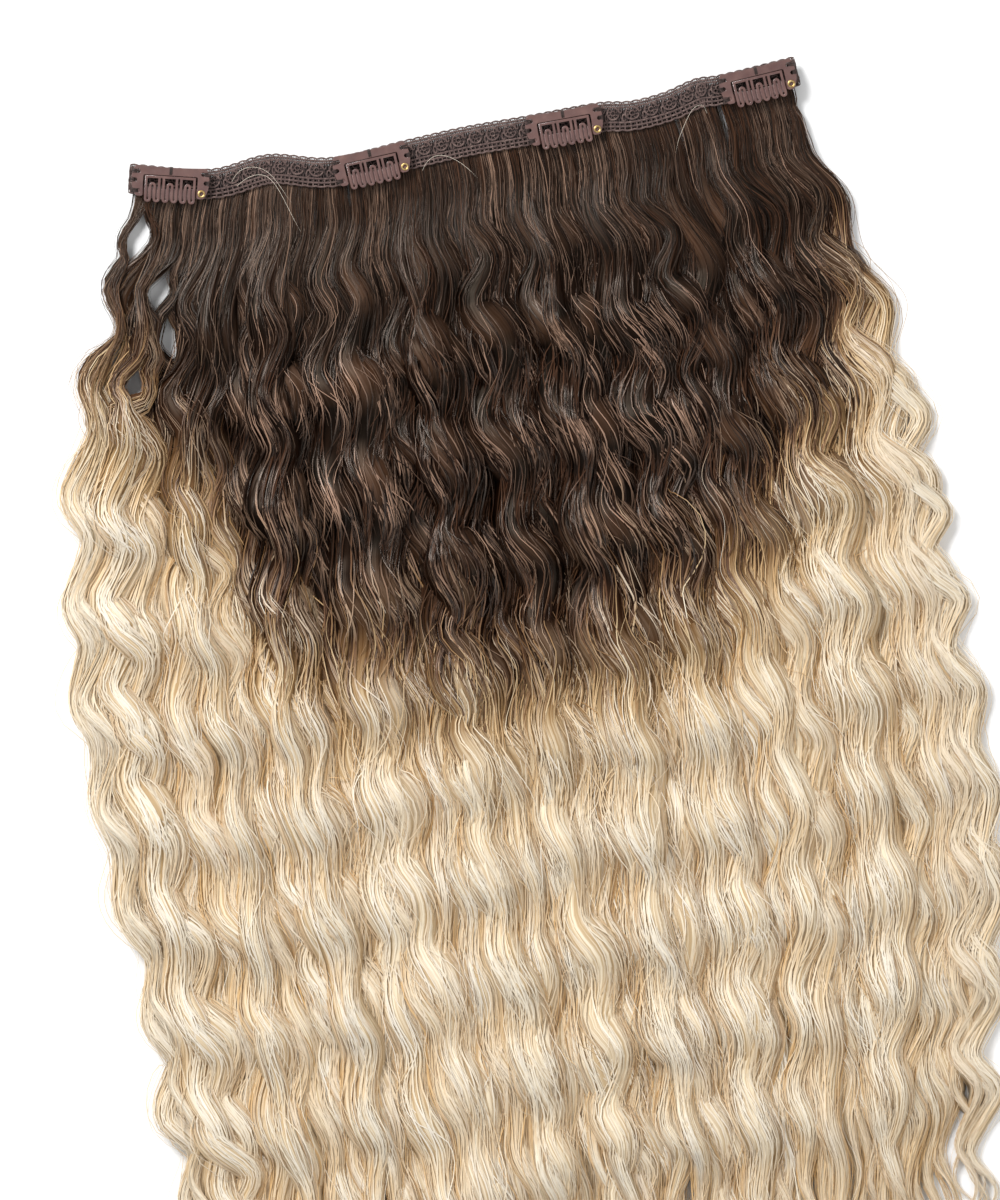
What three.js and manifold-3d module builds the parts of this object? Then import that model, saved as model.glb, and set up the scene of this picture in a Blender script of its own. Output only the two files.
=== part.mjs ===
// A clip-in hair extension weft, laid flat with its clips up: a pierced lace band, long wavy hair sewn
// under the band, and four snap clips sewn on top of it. Each clip is a sheet-metal frame with a bar, a
// soft sleeve on the bar, a comb that snaps down on the sleeve, and a brass eyelet.
// Millimetres, +Z up. The band lies along X and the hair runs from it along -Y. The origin is on the
// surface that the weft lies on, under the middle of its outline.
import * as THREE from "three";
import { mergeVertices } from "three/addons/utils/BufferGeometryUtils.js";
import Module from "manifold-3d";

const wasm = await Module();
wasm.setup();

// The lace band
const bandLength = 238;
const bandWidth = 10.5;
const laceThickness = 1;
const bandSag = 9; // how far the band's line dips between its ends, towards the hair
const laceColumns = 38;
const laceRows = [
  // heights as shares of the band's width, gap sizes as shares of their cell
  { height: 0.26, gapLength: 0.5, gapHeight: 0.46 },
  { height: 0.48, gapLength: 0.56, gapHeight: 0.6 },
  { height: 0.26, gapLength: 0.42, gapHeight: 0.46 },
];
const laceScallop = 0.5; // how far the lace's two long edges wave in and out

// The line of the band's upper edge: shares of half its length, and of its sag
const bandLine = [
  { along: -1.0, drop: 0.03 },
  { along: -0.765, drop: 0.72 },
  { along: -0.59, drop: 0.5 },
  { along: -0.41, drop: 1.0 },
  { along: -0.176, drop: 0.78 },
  { along: 0.0, drop: 0.62 },
  { along: 0.176, drop: 0.58 },
  { along: 0.41, drop: 0.5 },
  { along: 0.5, drop: 0.63 },
  { along: 0.6, drop: 0.5 },
  { along: 0.7, drop: 0.16 },
  { along: 0.765, drop: 0.17 },
  { along: 1.0, drop: -0.1 },
];

// The sewn track that the hair grows from, under the lace
const trackWidth = 7;
const trackThickness = 3.2;
const trackInset = 0.6; // from the lace's lower edge and from its ends

// The hair
const hairLength = 450;
const hairHeight = 14;
const hairFlare = 47; // how far the outermost hair stands outside the band's ends
const waveLength = 36;
const waveWidth = 4.4; // sideways amplitude
const waveLift = 0.13; // up and down, as a share of the hair's height
const sectionsPerWave = 4;
const lockSplit = 0.855; // the share of the way down at which the locks part
const lockGap = 1.6; // between the parted locks
const lockTipWidth = 0.16; // a lock's width at its tip, as a share of its full width
const lockTopInset = 0.23; // how far a lock's top lies inside its two sides, as a share of its width
const valleyDepth = 0.6; // how deep the valleys between locks are, as a share of the locks' height

// The hair's outline: shares of its length, and of its flare on each side
const hairOutline = [
  { down: 0.0, left: 0.0, right: 0.0 },
  { down: 0.045, left: 0.2, right: 0.07 },
  { down: 0.125, left: 0.5, right: 0.28 },
  { down: 0.24, left: 0.82, right: 0.46 },
  { down: 0.38, left: 1.0, right: 0.58 },
  { down: 0.5, left: 0.98, right: 0.64 },
  { down: 0.61, left: 0.88, right: 0.62 },
  { down: 0.765, left: 0.8, right: 0.36 },
  { down: 1.0, left: 0.58, right: 0.06 },
];

// The locks, left to right: where each one's right side lies, from -1 at the hair's left outline to 1 at
// its right one, its length as a share of the hair's, and its height as a share of the hair's
const lockTable = [
  { rightSide: -0.925, length: 0.93, height: 0.62 },
  { rightSide: -0.81, length: 0.965, height: 0.8 },
  { rightSide: -0.64, length: 0.985, height: 0.95 },
  { rightSide: -0.46, length: 0.965, height: 1.04 },
  { rightSide: -0.28, length: 1.0, height: 0.95 },
  { rightSide: -0.09, length: 0.975, height: 1.06 },
  { rightSide: 0.09, length: 1.0, height: 0.97 },
  { rightSide: 0.27, length: 0.97, height: 1.05 },
  { rightSide: 0.45, length: 0.99, height: 0.94 },
  { rightSide: 0.63, length: 0.965, height: 1.02 },
  { rightSide: 0.82, length: 0.98, height: 0.86 },
  { rightSide: 1.0, length: 0.94, height: 0.66 },
];

// The see-through gaps between the outer locks: their middles as shares of half the band's length and of
// the hair's length below the band's upper edge, their sizes as shares of the wave's length, and degrees
const hairGaps = [
  { across: -1.01, down: 0.0503, width: 0.23, length: 0.46, lean: -20 },
  { across: -0.975, down: 0.0935, width: 0.2, length: 0.38, lean: -14 },
  { across: -1.136, down: 0.1124, width: 0.13, length: 0.42, lean: 4 },
  { across: -0.972, down: 0.1358, width: 0.11, length: 0.46, lean: 8 },
  { across: -1.087, down: 0.1637, width: 0.15, length: 0.36, lean: 6 },
  { across: 1.0, down: 0.0278, width: 0.08, length: 0.26, lean: 12 },
];

// The snap clips
const clipCount = 4;
const clipEndMargin = 0.5;
const clipEdgeInset = 0.3; // from the band's upper edge to a clip's
const sheetThickness = 0.6;
const clipBandTop = 5.9; // the clip's upper edge, above its middle
const combRootHeight = 2.4; // the comb's root line, above the clip's middle
const lugFoot = -5.1; // the lugs' lower edge
const lugWidth = 4.35;
const lugTaper = 1.3; // how far a lug's corners lie inside its middle
const topDip = 0.4; // how far the upper edge dips at its middle
const sewingHoleRadius = 0.72;
const sewingHoles = [
  // shares of the lug's width from its inner side, and heights above the clip's middle
  { across: 0.43, height: 3.7 },
  { across: 0.66, height: 0.6 },
];
const rivetAcross = 0.36; // share of the lug's width
const rivetHeight = -3.2;

// The comb: hairpin teeth in groups of two, joined by an arch
const toothGroups = 3;
const legPitch = 1.555;
const legWidth = 0.95;
const combRootDepth = 0.8;
const archWindowInset = 0.15; // from the root strip's lower edge
const toothTip = -7.1;
const archTop = 0.05;
const combClearance = 0.2; // at the root line

// The bar under the comb, and its soft sleeve
const barWidth = 3;
const barThickness = 0.5;
const barBow = 0.8; // how far the bar's middle lies below its ends
const barRise = 0.7; // the length of the ramp from the bar up to a lug, beside the window's end
const barClearance = 0.15;
const sleeveWall = 0.35;
const sleeveInset = 0.1; // from the bar's ramps
const jawGap = 0.2;

// The eyelet
const eyeletBore = 0.62;
const eyeletWall = 0.33;
const eyeletFlange = 1.4;
const eyeletLip = 0.28;
const eyeletClearance = 0.15;

// Levels above the surface
const seatGap = 0.3;
const laceBottom = trackThickness + seatGap;
const clipBase = laceBottom + laceThickness + seatGap;
const barBottom = sleeveWall + barClearance;
const sleeveThickness = 2 * (sleeveWall + barClearance) + barThickness;
const plateBottom = sleeveThickness + jawGap;
const plateTop = plateBottom + sheetThickness;

const colours = {
  lace: new THREE.Color(0x4b3b38),
  hair: new THREE.Color(0xc9ab7c),
  paint: new THREE.Color(0x7d544a),
  sleeve: new THREE.Color(0x9a7a74),
  brass: new THREE.Color(0xc8a45a),
};

// The value at a share from 0 to 1 of a smooth curve through a table's column
function through(table, place, column, share) {
  const last = table.length - 1;
  let i = 0;
  while (i < last - 1 && share > table[i + 1][place]) i += 1;
  const at = (k) => table[Math.min(Math.max(k, 0), last)];
  const span = at(i + 1)[place] - at(i)[place];
  const s = (share - at(i)[place]) / span;
  const slope = (a, b) => ((b[column] - a[column]) / (b[place] - a[place] || 1)) * span;
  const m0 = slope(at(i - 1), at(i + 1));
  const m1 = slope(at(i), at(i + 2));
  const rise = at(i + 1)[column] - at(i)[column];
  return (
    at(i)[column] +
    m0 * s * (1 - s) * (1 - s) -
    m1 * s * s * (1 - s) +
    rise * s * s * (3 - 2 * s)
  );
}

const smooth = (from, to, x) => {
  const s = Math.min(Math.max((x - from) / (to - from), 0), 1);
  return s * s * (3 - 2 * s);
};

// The band's upper edge at x, and the unit vector that points from it towards the lower edge
function bandAt(x) {
  const half = bandLength / 2;
  const y = (at) => -bandSag * through(bandLine, "along", "drop", at / half);
  const step = 1;
  const from = Math.max(x - step, -half);
  const to = Math.min(x + step, half);
  const slope = Math.atan2(y(to) - y(from), to - from);
  return { x, y: y(x), down: new THREE.Vector2(Math.sin(slope), -Math.cos(slope)) };
}

// A point of the band, depth below its upper edge
function onBand(x, depth) {
  const edge = bandAt(x);
  return new THREE.Vector2(edge.x + edge.down.x * depth, edge.y + edge.down.y * depth);
}

// A closed solid from rings of equally many points, listed counterclockwise as seen from the last ring
function loft(rings) {
  const count = rings[0].length;
  const positions = rings.flat().flatMap((p) => [p.x, p.y, p.z]);
  const index = [];
  for (let r = 0; r + 1 < rings.length; r += 1) {
    for (let k = 0; k < count; k += 1) {
      const next = (k + 1) % count;
      const a = r * count + k;
      const b = r * count + next;
      index.push(a, b, b + count, a, b + count, a + count);
    }
  }
  const end = (rings.length - 1) * count;
  for (let k = 1; k + 1 < count; k += 1) {
    index.push(0, k + 1, k);
    index.push(end, end + k, end + k + 1);
  }
  const geometry = new THREE.BufferGeometry();
  geometry.setAttribute("position", new THREE.Float32BufferAttribute(positions, 3));
  geometry.setIndex(index);
  return geometry;
}

// A geometry as a solid that can be cut and joined, and back again
function toSolid(geometry) {
  const bare = geometry.clone();
  bare.deleteAttribute("normal");
  bare.deleteAttribute("uv");
  const merged = mergeVertices(bare, 1e-4);
  const vertProperties = new Float32Array(merged.attributes.position.array);
  const triVerts = new Uint32Array(merged.index.array);
  return new wasm.Manifold(new wasm.Mesh({ numProp: 3, vertProperties, triVerts }));
}

function toGeometry(solid) {
  const mesh = solid.getMesh();
  const geometry = new THREE.BufferGeometry();
  geometry.setAttribute("position", new THREE.BufferAttribute(mesh.vertProperties, 3));
  geometry.setIndex(new THREE.BufferAttribute(mesh.triVerts, 1));
  return geometry;
}

function piece(name, geometry, colour, roughness, metalness = 0) {
  const material = new THREE.MeshStandardMaterial({ color: colour, roughness, metalness });
  const mesh = new THREE.Mesh(geometry, material);
  mesh.name = name;
  return mesh;
}

// The lace: a lattice of cells with a gap in each, bent along the band's line
function laceBand() {
  const positions = [];
  const index = [];
  const levels = [laceBottom, laceBottom + laceThickness];
  const vertex = (x, depth, level) => {
    const p = onBand(x, depth);
    positions.push(p.x, p.y, levels[level]);
    return positions.length / 3 - 1;
  };
  const pair = (x, depth) => [vertex(x, depth, 0), vertex(x, depth, 1)];
  const cell = bandLength / laceColumns;
  const edges = [0];
  for (const row of laceRows) edges.push(edges[edges.length - 1] + row.height * bandWidth);
  const total = edges[edges.length - 1];
  const scallop = (column, row) => {
    const outer = row === 0 ? 1 : row === laceRows.length ? -1 : 0;
    return outer * (column % 2) * laceScallop;
  };
  const corners = [];
  for (let c = 0; c <= laceColumns; c += 1) {
    const x = -bandLength / 2 + c * cell;
    corners.push(edges.map((e, r) => pair(x, (e / total) * bandWidth + scallop(c, r))));
  }
  // Both faces of a quad that is counterclockwise from above
  const faces = (a, b, c, d) => {
    index.push(a[1], b[1], c[1], a[1], c[1], d[1]);
    index.push(a[0], c[0], b[0], a[0], d[0], c[0]);
  };
  const triangle = (a, b, c) => {
    index.push(a[1], b[1], c[1]);
    index.push(a[0], c[0], b[0]);
  };
  // A wall that has the solid on the left of a to b, seen from above
  const wall = (a, b) => index.push(a[0], b[0], b[1], a[0], b[1], a[1]);
  for (let c = 0; c < laceColumns; c += 1) {
    laceRows.forEach((row, r) => {
      const x = -bandLength / 2 + (c + 0.5) * cell;
      const middle = (((edges[r] + edges[r + 1]) / 2) * bandWidth) / total;
      const halfLength = (row.gapLength * cell) / 2;
      const halfHeight = (row.gapHeight * row.height * bandWidth) / 2;
      const west = pair(x - halfLength, middle);
      const south = pair(x, middle + halfHeight);
      const east = pair(x + halfLength, middle);
      const north = pair(x, middle - halfHeight);
      const northWest = corners[c][r];
      const southWest = corners[c][r + 1];
      const southEast = corners[c + 1][r + 1];
      const northEast = corners[c + 1][r];
      triangle(northWest, southWest, west);
      faces(southWest, south, west, west);
      triangle(southWest, southEast, south);
      faces(southEast, east, south, south);
      triangle(southEast, northEast, east);
      faces(northEast, north, east, east);
      triangle(northEast, northWest, north);
      faces(northWest, west, north, north);
      wall(west, north);
      wall(north, east);
      wall(east, south);
      wall(south, west);
    });
  }
  const rows = laceRows.length;
  for (let c = 0; c < laceColumns; c += 1) {
    wall(corners[c][rows], corners[c + 1][rows]);
    wall(corners[c + 1][0], corners[c][0]);
  }
  for (let r = 0; r < rows; r += 1) {
    wall(corners[0][r], corners[0][r + 1]);
    wall(corners[laceColumns][r + 1], corners[laceColumns][r]);
  }
  const geometry = new THREE.BufferGeometry();
  geometry.setAttribute("position", new THREE.Float32BufferAttribute(positions, 3));
  geometry.setIndex(index.filter((_, i) => !degenerate(index, i)));
  return piece("lace_band", geometry, colours.lace, 0.9);
}

// Whether entry i of an index belongs to a triangle that names a vertex twice
function degenerate(index, i) {
  const [a, b, c] = index.slice(i - (i % 3), i - (i % 3) + 3);
  return a === b || b === c || c === a;
}

// How far the wave has turned, in radians, at a place across the hair and a share of the way down it
function waveTurn(across, share) {
  const drift = 0.9 * Math.sin(2.1 * across + 0.4) + 0.5 * Math.sin(5.3 * across + 1.9);
  return (2 * Math.PI * share * hairLength) / waveLength + drift;
}

// A point of the hair's surface; above the band's lower edge it is the track's
function hairPoint(across, share, height) {
  const half = bandLength / 2 - trackInset;
  const root = onBand(across * half, bandWidth - trackInset + Math.min(share, 0) * hairLength);
  if (share <= 0) return new THREE.Vector3(root.x, root.y, height);
  const flare = hairFlare * through(hairOutline, "down", across < 0 ? "left" : "right", share);
  const wave = waveWidth * smooth(0, 0.1, share) * Math.sin(waveTurn(across, share));
  return new THREE.Vector3(root.x + across * flare + wave, root.y - share * hairLength, height);
}

// A lock's height above the surface
function lockTop(across, share, scale) {
  const full = trackThickness + (hairHeight - trackThickness) * smooth(0.012, 0.15, share);
  const thinned = full * (1 - 0.4 * smooth(0.72, 1, share));
  const lift = waveLift * Math.cos(waveTurn(across, share));
  return thinned * (1 + (scale - 1 + lift) * smooth(0.02, 0.15, share));
}

const lockSides = [-1, ...lockTable.map((entry) => entry.rightSide)];

// The two points of a lock's top, right one first
function lockCrest(i, share) {
  const width = lockSides[i + 1] - lockSides[i];
  return [lockSides[i + 1] - lockTopInset * width, lockSides[i] + lockTopInset * width].map(
    (across) => hairPoint(across, share, lockTop(across, share, lockTable[i].height)),
  );
}

// One row of points across the joined hair, from its left foot to its right one
function hairRow(share) {
  const row = [hairPoint(-1, share, 0)];
  lockTable.forEach((entry, i) => {
    row.push(...lockCrest(i, share).reverse());
    if (i === lockTable.length - 1) return;
    const side = entry.rightSide;
    const lower = Math.min(entry.height, lockTable[i + 1].height);
    const height = lockTop(side, share, lower) * (1 - valleyDepth * smooth(0, 0.12, share));
    row.push(hairPoint(side, share, height));
  });
  row.push(hairPoint(1, share, 0));
  return row;
}

// The joined part of the hair, with the track: a ridge for each lock and a valley between each two
function joinedHair() {
  const steps = Math.round((lockSplit * hairLength * sectionsPerWave) / waveLength);
  const rows = [hairRow(-trackWidth / hairLength)];
  for (let i = 0; i <= steps; i += 1) rows.push(hairRow((lockSplit * i) / steps));
  const vertices = rows.flat();
  const width = rows[0].length;
  const index = [];
  for (let r = 0; r + 1 < rows.length; r += 1) {
    for (let k = 0; k + 1 < width; k += 1) {
      const a = r * width + k;
      index.push(a, a + width, a + width + 1, a, a + width + 1, a + 1);
    }
  }
  // The end walls stand on a point under each valley
  const feet = (r) => {
    const row = [r * width];
    for (let k = 3; k + 1 < width; k += 3) {
      row.push(vertices.length);
      vertices.push(rows[r][k].clone().setZ(0));
    }
    return [...row, (r + 1) * width - 1];
  };
  const wall = (r, row, facesRoot) => {
    const add = (a, b, c) => {
      if (a === b || b === c || c === a) return;
      index.push(...(facesRoot ? [a, b, c] : [a, c, b]));
    };
    for (let i = 0; i + 1 < row.length; i += 1) {
      const top = r * width + 3 * i;
      add(row[i], top, top + 1);
      add(row[i], top + 1, top + 2);
      add(row[i], top + 2, row[i + 1]);
      add(top + 2, top + 3, row[i + 1]);
    }
  };
  const last = rows.length - 1;
  const rootFeet = feet(0);
  const splitFeet = feet(last);
  wall(0, rootFeet, true);
  wall(last, splitFeet, false);
  // The underside, which is flat
  const side = rows.slice(1, -1).map((_, r) => (r + 1) * width);
  const contour = [
    ...splitFeet,
    ...side.map((left) => left + width - 1).reverse(),
    ...[...rootFeet].reverse(),
    ...side,
  ];
  const flat = contour.map((v) => new THREE.Vector2(vertices[v].x, vertices[v].y));
  for (const [a, b, c] of THREE.ShapeUtils.triangulateShape(flat, [])) {
    index.push(contour[a], contour[c], contour[b]);
  }
  const geometry = new THREE.BufferGeometry();
  const positions = vertices.flatMap((p) => [p.x, p.y, p.z]);
  geometry.setAttribute("position", new THREE.Float32BufferAttribute(positions, 3));
  geometry.setIndex(index);
  return toSolid(geometry);
}

// The parted end of a lock, from inside the joined hair to its tip
function lockEnd(i) {
  const step = waveLength / sectionsPerWave / hairLength;
  const to = lockTable[i].length;
  const steps = Math.round((to - lockSplit) / step);
  const rings = [];
  for (let k = -1; k <= steps; k += 1) {
    const share = k < 0 ? lockSplit - step : lockSplit + ((to - lockSplit) * k) / steps;
    const size = 1 - (1 - lockTipWidth) * smooth(lockSplit, to, share);
    const left = hairPoint(lockSides[i], share, 0);
    const right = hairPoint(lockSides[i + 1], share, 0);
    const middle = left.clone().lerp(right, 0.5);
    const gap = (lockGap * smooth(-2, 2, k)) / (right.x - left.x);
    const ring = [left, right, ...lockCrest(i, share)].map((p) => {
      const q = middle.clone().lerp(p, size * (1 - gap));
      return q.setZ(p.z * (0.5 + 0.5 * size) * (k < 0 ? 0.9 : 1));
    });
    rings.push(ring);
  }
  return toSolid(loft(rings));
}

// A see-through gap as a solid to cut away: an almond that leans
function gapSolid({ across, down, width, length, lean }) {
  const halfWidth = (width * waveLength) / 2;
  const halfLength = (length * waveLength) / 2;
  const almond = new THREE.Shape();
  almond.moveTo(0, -halfLength);
  almond.quadraticCurveTo(2 * halfWidth, 0, 0, halfLength);
  almond.quadraticCurveTo(-2 * halfWidth, 0, 0, -halfLength);
  const geometry = new THREE.ExtrudeGeometry(almond, {
    depth: 4 * hairHeight,
    bevelEnabled: false,
    curveSegments: 4,
  });
  geometry.rotateZ(THREE.MathUtils.degToRad(lean));
  geometry.translate((across * bandLength) / 2, -bandSag / 2 - down * hairLength, -2 * hairHeight);
  return toSolid(geometry);
}

// The track and the locks, fused
function hairWeft() {
  let solid = joinedHair();
  lockTable.forEach((_, i) => {
    solid = solid.add(lockEnd(i));
  });
  for (const gap of hairGaps) solid = solid.subtract(gapSolid(gap));
  return piece("hair_weft", toGeometry(solid), colours.hair, 0.55);
}

// Widths that the clip's pieces share
const combHalf = 2 * toothGroups * legPitch - (legPitch - legWidth) / 2;
const windowHalf = combHalf + (legPitch - legWidth);
const clipHalf = windowHalf + lugWidth;
const rivetX = windowHalf + rivetAcross * lugWidth;

function round(x, y, radius) {
  return new THREE.Path().absarc(x, y, radius, 0, 2 * Math.PI, true);
}

// A flat sheet with its underside at a level above the clip's base
function sheet(shape, level, thickness, curveSegments) {
  const settings = { depth: thickness, bevelEnabled: false, curveSegments };
  return new THREE.ExtrudeGeometry(shape, settings).translate(0, 0, level);
}

// The frame's face: a band with a lug at each end
function facePlate() {
  const corner = clipHalf - lugTaper;
  const bulge = clipHalf + lugTaper;
  const middle = (clipBandTop + lugFoot) / 2;
  const face = new THREE.Shape();
  face.moveTo(corner, clipBandTop);
  face.quadraticCurveTo(0, clipBandTop - 2 * topDip, -corner, clipBandTop);
  face.quadraticCurveTo(-bulge, middle, -corner + lugTaper / 2, lugFoot);
  face.lineTo(-windowHalf, lugFoot);
  face.lineTo(-windowHalf, combRootHeight + combClearance);
  face.lineTo(windowHalf, combRootHeight + combClearance);
  face.lineTo(windowHalf, lugFoot);
  face.lineTo(corner - lugTaper / 2, lugFoot);
  face.quadraticCurveTo(bulge, middle, corner, clipBandTop);
  for (const side of [-1, 1]) {
    for (const hole of sewingHoles) {
      const x = side * (windowHalf + hole.across * lugWidth);
      face.holes.push(round(x, hole.height, sewingHoleRadius));
    }
  }
  return toSolid(sheet(face, plateBottom, sheetThickness, 4));
}

// The bar's middle line: below the lugs, and bowed towards the teeth's tips
function barLine(x) {
  const share = Math.min(Math.abs(x) / windowHalf, 1);
  return rivetHeight - barBow * (1 - share * share);
}

// The bar from lug to lug, with ramps up to the lugs' undersides
function bar() {
  const end = rivetX + eyeletFlange - eyeletLip;
  const low = windowHalf - barRise;
  const high = windowHalf;
  const seat = plateBottom - barThickness / 2;
  const stations = [
    { x: -end, bottom: seat },
    { x: -high, bottom: seat },
    { x: -low, bottom: barBottom },
    { x: -low / 2, bottom: barBottom },
    { x: 0, bottom: barBottom },
    { x: low / 2, bottom: barBottom },
    { x: low, bottom: barBottom },
    { x: high, bottom: seat },
    { x: end, bottom: seat },
  ];
  const rings = stations.map(({ x, bottom }) => {
    const y = barLine(x);
    const half = barWidth / 2;
    return [
      new THREE.Vector3(x, y - half, bottom),
      new THREE.Vector3(x, y + half, bottom),
      new THREE.Vector3(x, y + half, bottom + barThickness),
      new THREE.Vector3(x, y - half, bottom + barThickness),
    ];
  });
  return toSolid(loft(rings));
}

function clipFrame(name) {
  let solid = facePlate().add(bar());
  const drill = (x, radius) => {
    const shape = new THREE.Shape().absarc(x, rivetHeight, radius, 0, 2 * Math.PI, false);
    return toSolid(sheet(shape, -sheetThickness, plateTop + 2 * sheetThickness, 4));
  };
  solid = solid.subtract(drill(-rivetX, sewingHoleRadius));
  solid = solid.subtract(drill(rivetX, eyeletBore + eyeletWall + eyeletClearance));
  return piece(name, toGeometry(solid), colours.paint, 0.38, 0.1);
}

// A flattened tube on the bar: an eight-sided sleeve with a four-sided bore
function clipSleeve(name) {
  const half = windowHalf - barRise - sleeveInset;
  const stations = [-1, -0.5, 0, 0.5, 1];
  const ring = (x, halfWidth, bottom, top, bevel) => {
    const y = barLine(x);
    const points = bevel
      ? [
          [-halfWidth + bevel, bottom],
          [halfWidth - bevel, bottom],
          [halfWidth, bottom + bevel],
          [halfWidth, top - bevel],
          [halfWidth - bevel, top],
          [-halfWidth + bevel, top],
          [-halfWidth, top - bevel],
          [-halfWidth, bottom + bevel],
        ]
      : [
          [-halfWidth, bottom],
          [halfWidth, bottom],
          [halfWidth, top],
          [-halfWidth, top],
        ];
    return points.map(([dy, z]) => new THREE.Vector3(x, y + dy, z));
  };
  const boreHalf = barWidth / 2 + barClearance;
  const outerHalf = boreHalf + sleeveWall;
  const boreTop = sleeveThickness - sleeveWall;
  const outer = stations.map((s) => ring(s * half, outerHalf, 0, sleeveThickness, sleeveWall));
  const bore = stations.map((s) => ring(s * (half + sleeveWall), boreHalf, sleeveWall, boreTop, 0));
  const solid = toSolid(loft(outer)).subtract(toSolid(loft(bore)));
  return piece(name, toGeometry(solid), colours.sleeve, 0.2);
}

// Points on an arc, from one angle to another, both ends included
function arc(x, y, radius, from, to, segments) {
  return Array.from({ length: segments + 1 }, (_, i) => {
    const angle = from + ((to - from) * i) / segments;
    return new THREE.Vector2(x + radius * Math.cos(angle), y + radius * Math.sin(angle));
  });
}

// The comb, flat, with its root line along its own X axis and its top face at height 0
function clipComb(name) {
  const half = legWidth / 2;
  const outer = legPitch / 2 + half; // radius outside a tooth's tip and an arch
  const inner = legPitch / 2 - half; // radius inside them
  const y = (height) => height - combRootHeight;
  const rootFoot = -combRootDepth;
  const windowTop = rootFoot - archWindowInset;
  const tip = y(toothTip) + outer;
  const arch = y(archTop) - outer;
  const edge = [new THREE.Vector2(-combHalf, 0)];
  const windows = [];
  for (let g = 0; g < toothGroups; g += 1) {
    const x = (4 * g - 2 * (toothGroups - 1)) * legPitch;
    const left = x - legPitch;
    const right = x + legPitch;
    edge.push(...arc(left, tip, outer, Math.PI, 2 * Math.PI, 4));
    edge.push(...arc(x, arch, inner, Math.PI, 0, 2));
    edge.push(...arc(right, tip, outer, Math.PI, 2 * Math.PI, 4));
    if (g < toothGroups - 1) {
      edge.push(...arc(x + 2 * legPitch, rootFoot - inner, inner, Math.PI, 0, 2));
    }
    windows.push([
      new THREE.Vector2(left - inner, windowTop),
      ...arc(left, tip, inner, Math.PI, 2 * Math.PI, 2),
      ...arc(x, arch, outer, Math.PI, 0, 4),
      ...arc(right, tip, inner, Math.PI, 2 * Math.PI, 2),
      new THREE.Vector2(right + inner, windowTop),
    ]);
  }
  edge.push(new THREE.Vector2(combHalf, 0));
  const outline = new THREE.Shape(edge);
  outline.holes = windows.map((points) => new THREE.Path(points));
  const mesh = piece(name, sheet(outline, -sheetThickness, sheetThickness, 1), colours.paint, 0.34, 0.1);
  mesh.position.set(0, combRootHeight, plateTop);
  return mesh;
}

function clipEyelet(name) {
  const barrel = eyeletBore + eyeletWall;
  const foot = plateBottom - barThickness / 2 - eyeletLip;
  const head = plateTop + eyeletLip;
  const slack = 0.03; // under each lip
  const profile = [
    [eyeletBore, foot],
    [eyeletFlange, foot],
    [eyeletFlange, foot + eyeletLip - slack],
    [barrel, foot + eyeletLip - slack],
    [barrel, head - eyeletLip + slack],
    [eyeletFlange, head - eyeletLip + slack],
    [eyeletFlange - eyeletLip, head],
    [eyeletBore, head],
    [eyeletBore, foot],
  ].map(([radius, z]) => new THREE.Vector2(radius, z));
  const ring = new THREE.LatheGeometry(profile, 10).rotateX(Math.PI / 2);
  const mesh = piece(name, ring, colours.brass, 0.25, 0.9);
  mesh.position.set(rivetX, rivetHeight, 0);
  return mesh;
}

// One snap clip, closed, placed on the chord of the band under it
function snapClip(number) {
  const half = bandLength / 2 - clipEndMargin - clipHalf;
  const x = clipCount > 1 ? -half + ((number - 1) * 2 * half) / (clipCount - 1) : 0;
  const from = bandAt(x - clipHalf);
  const to = bandAt(x + clipHalf);
  const angle = Math.atan2(to.y - from.y, to.x - from.x);
  const depth = clipEdgeInset + clipBandTop;
  const clip = new THREE.Group();
  const middle = new THREE.Vector2((from.x + to.x) / 2, (from.y + to.y) / 2);
  clip.position.set(
    middle.x + Math.sin(angle) * depth,
    middle.y - Math.cos(angle) * depth,
    clipBase,
  );
  clip.rotation.z = angle;
  clip.add(
    clipFrame(`clip_${number}_frame`),
    clipSleeve(`clip_${number}_sleeve`),
    clipComb(`clip_${number}_comb`),
    clipEyelet(`clip_${number}_eyelet`),
  );
  return clip;
}

const weft = new THREE.Group();
weft.add(laceBand(), hairWeft());
for (let number = 1; number <= clipCount; number += 1) weft.add(snapClip(number));

// Moves the weft so that the origin lies under the middle of its outline
const outline = new THREE.Box3().setFromObject(weft);
const centre = outline.getCenter(new THREE.Vector3());
weft.position.set(-centre.x, -centre.y, -outline.min.z);

const part = new THREE.Group();
part.add(weft);

export default part;
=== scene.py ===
import math

import bmesh
import bpy
import numpy as np
from mathutils import Euler, Matrix, Vector


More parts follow.
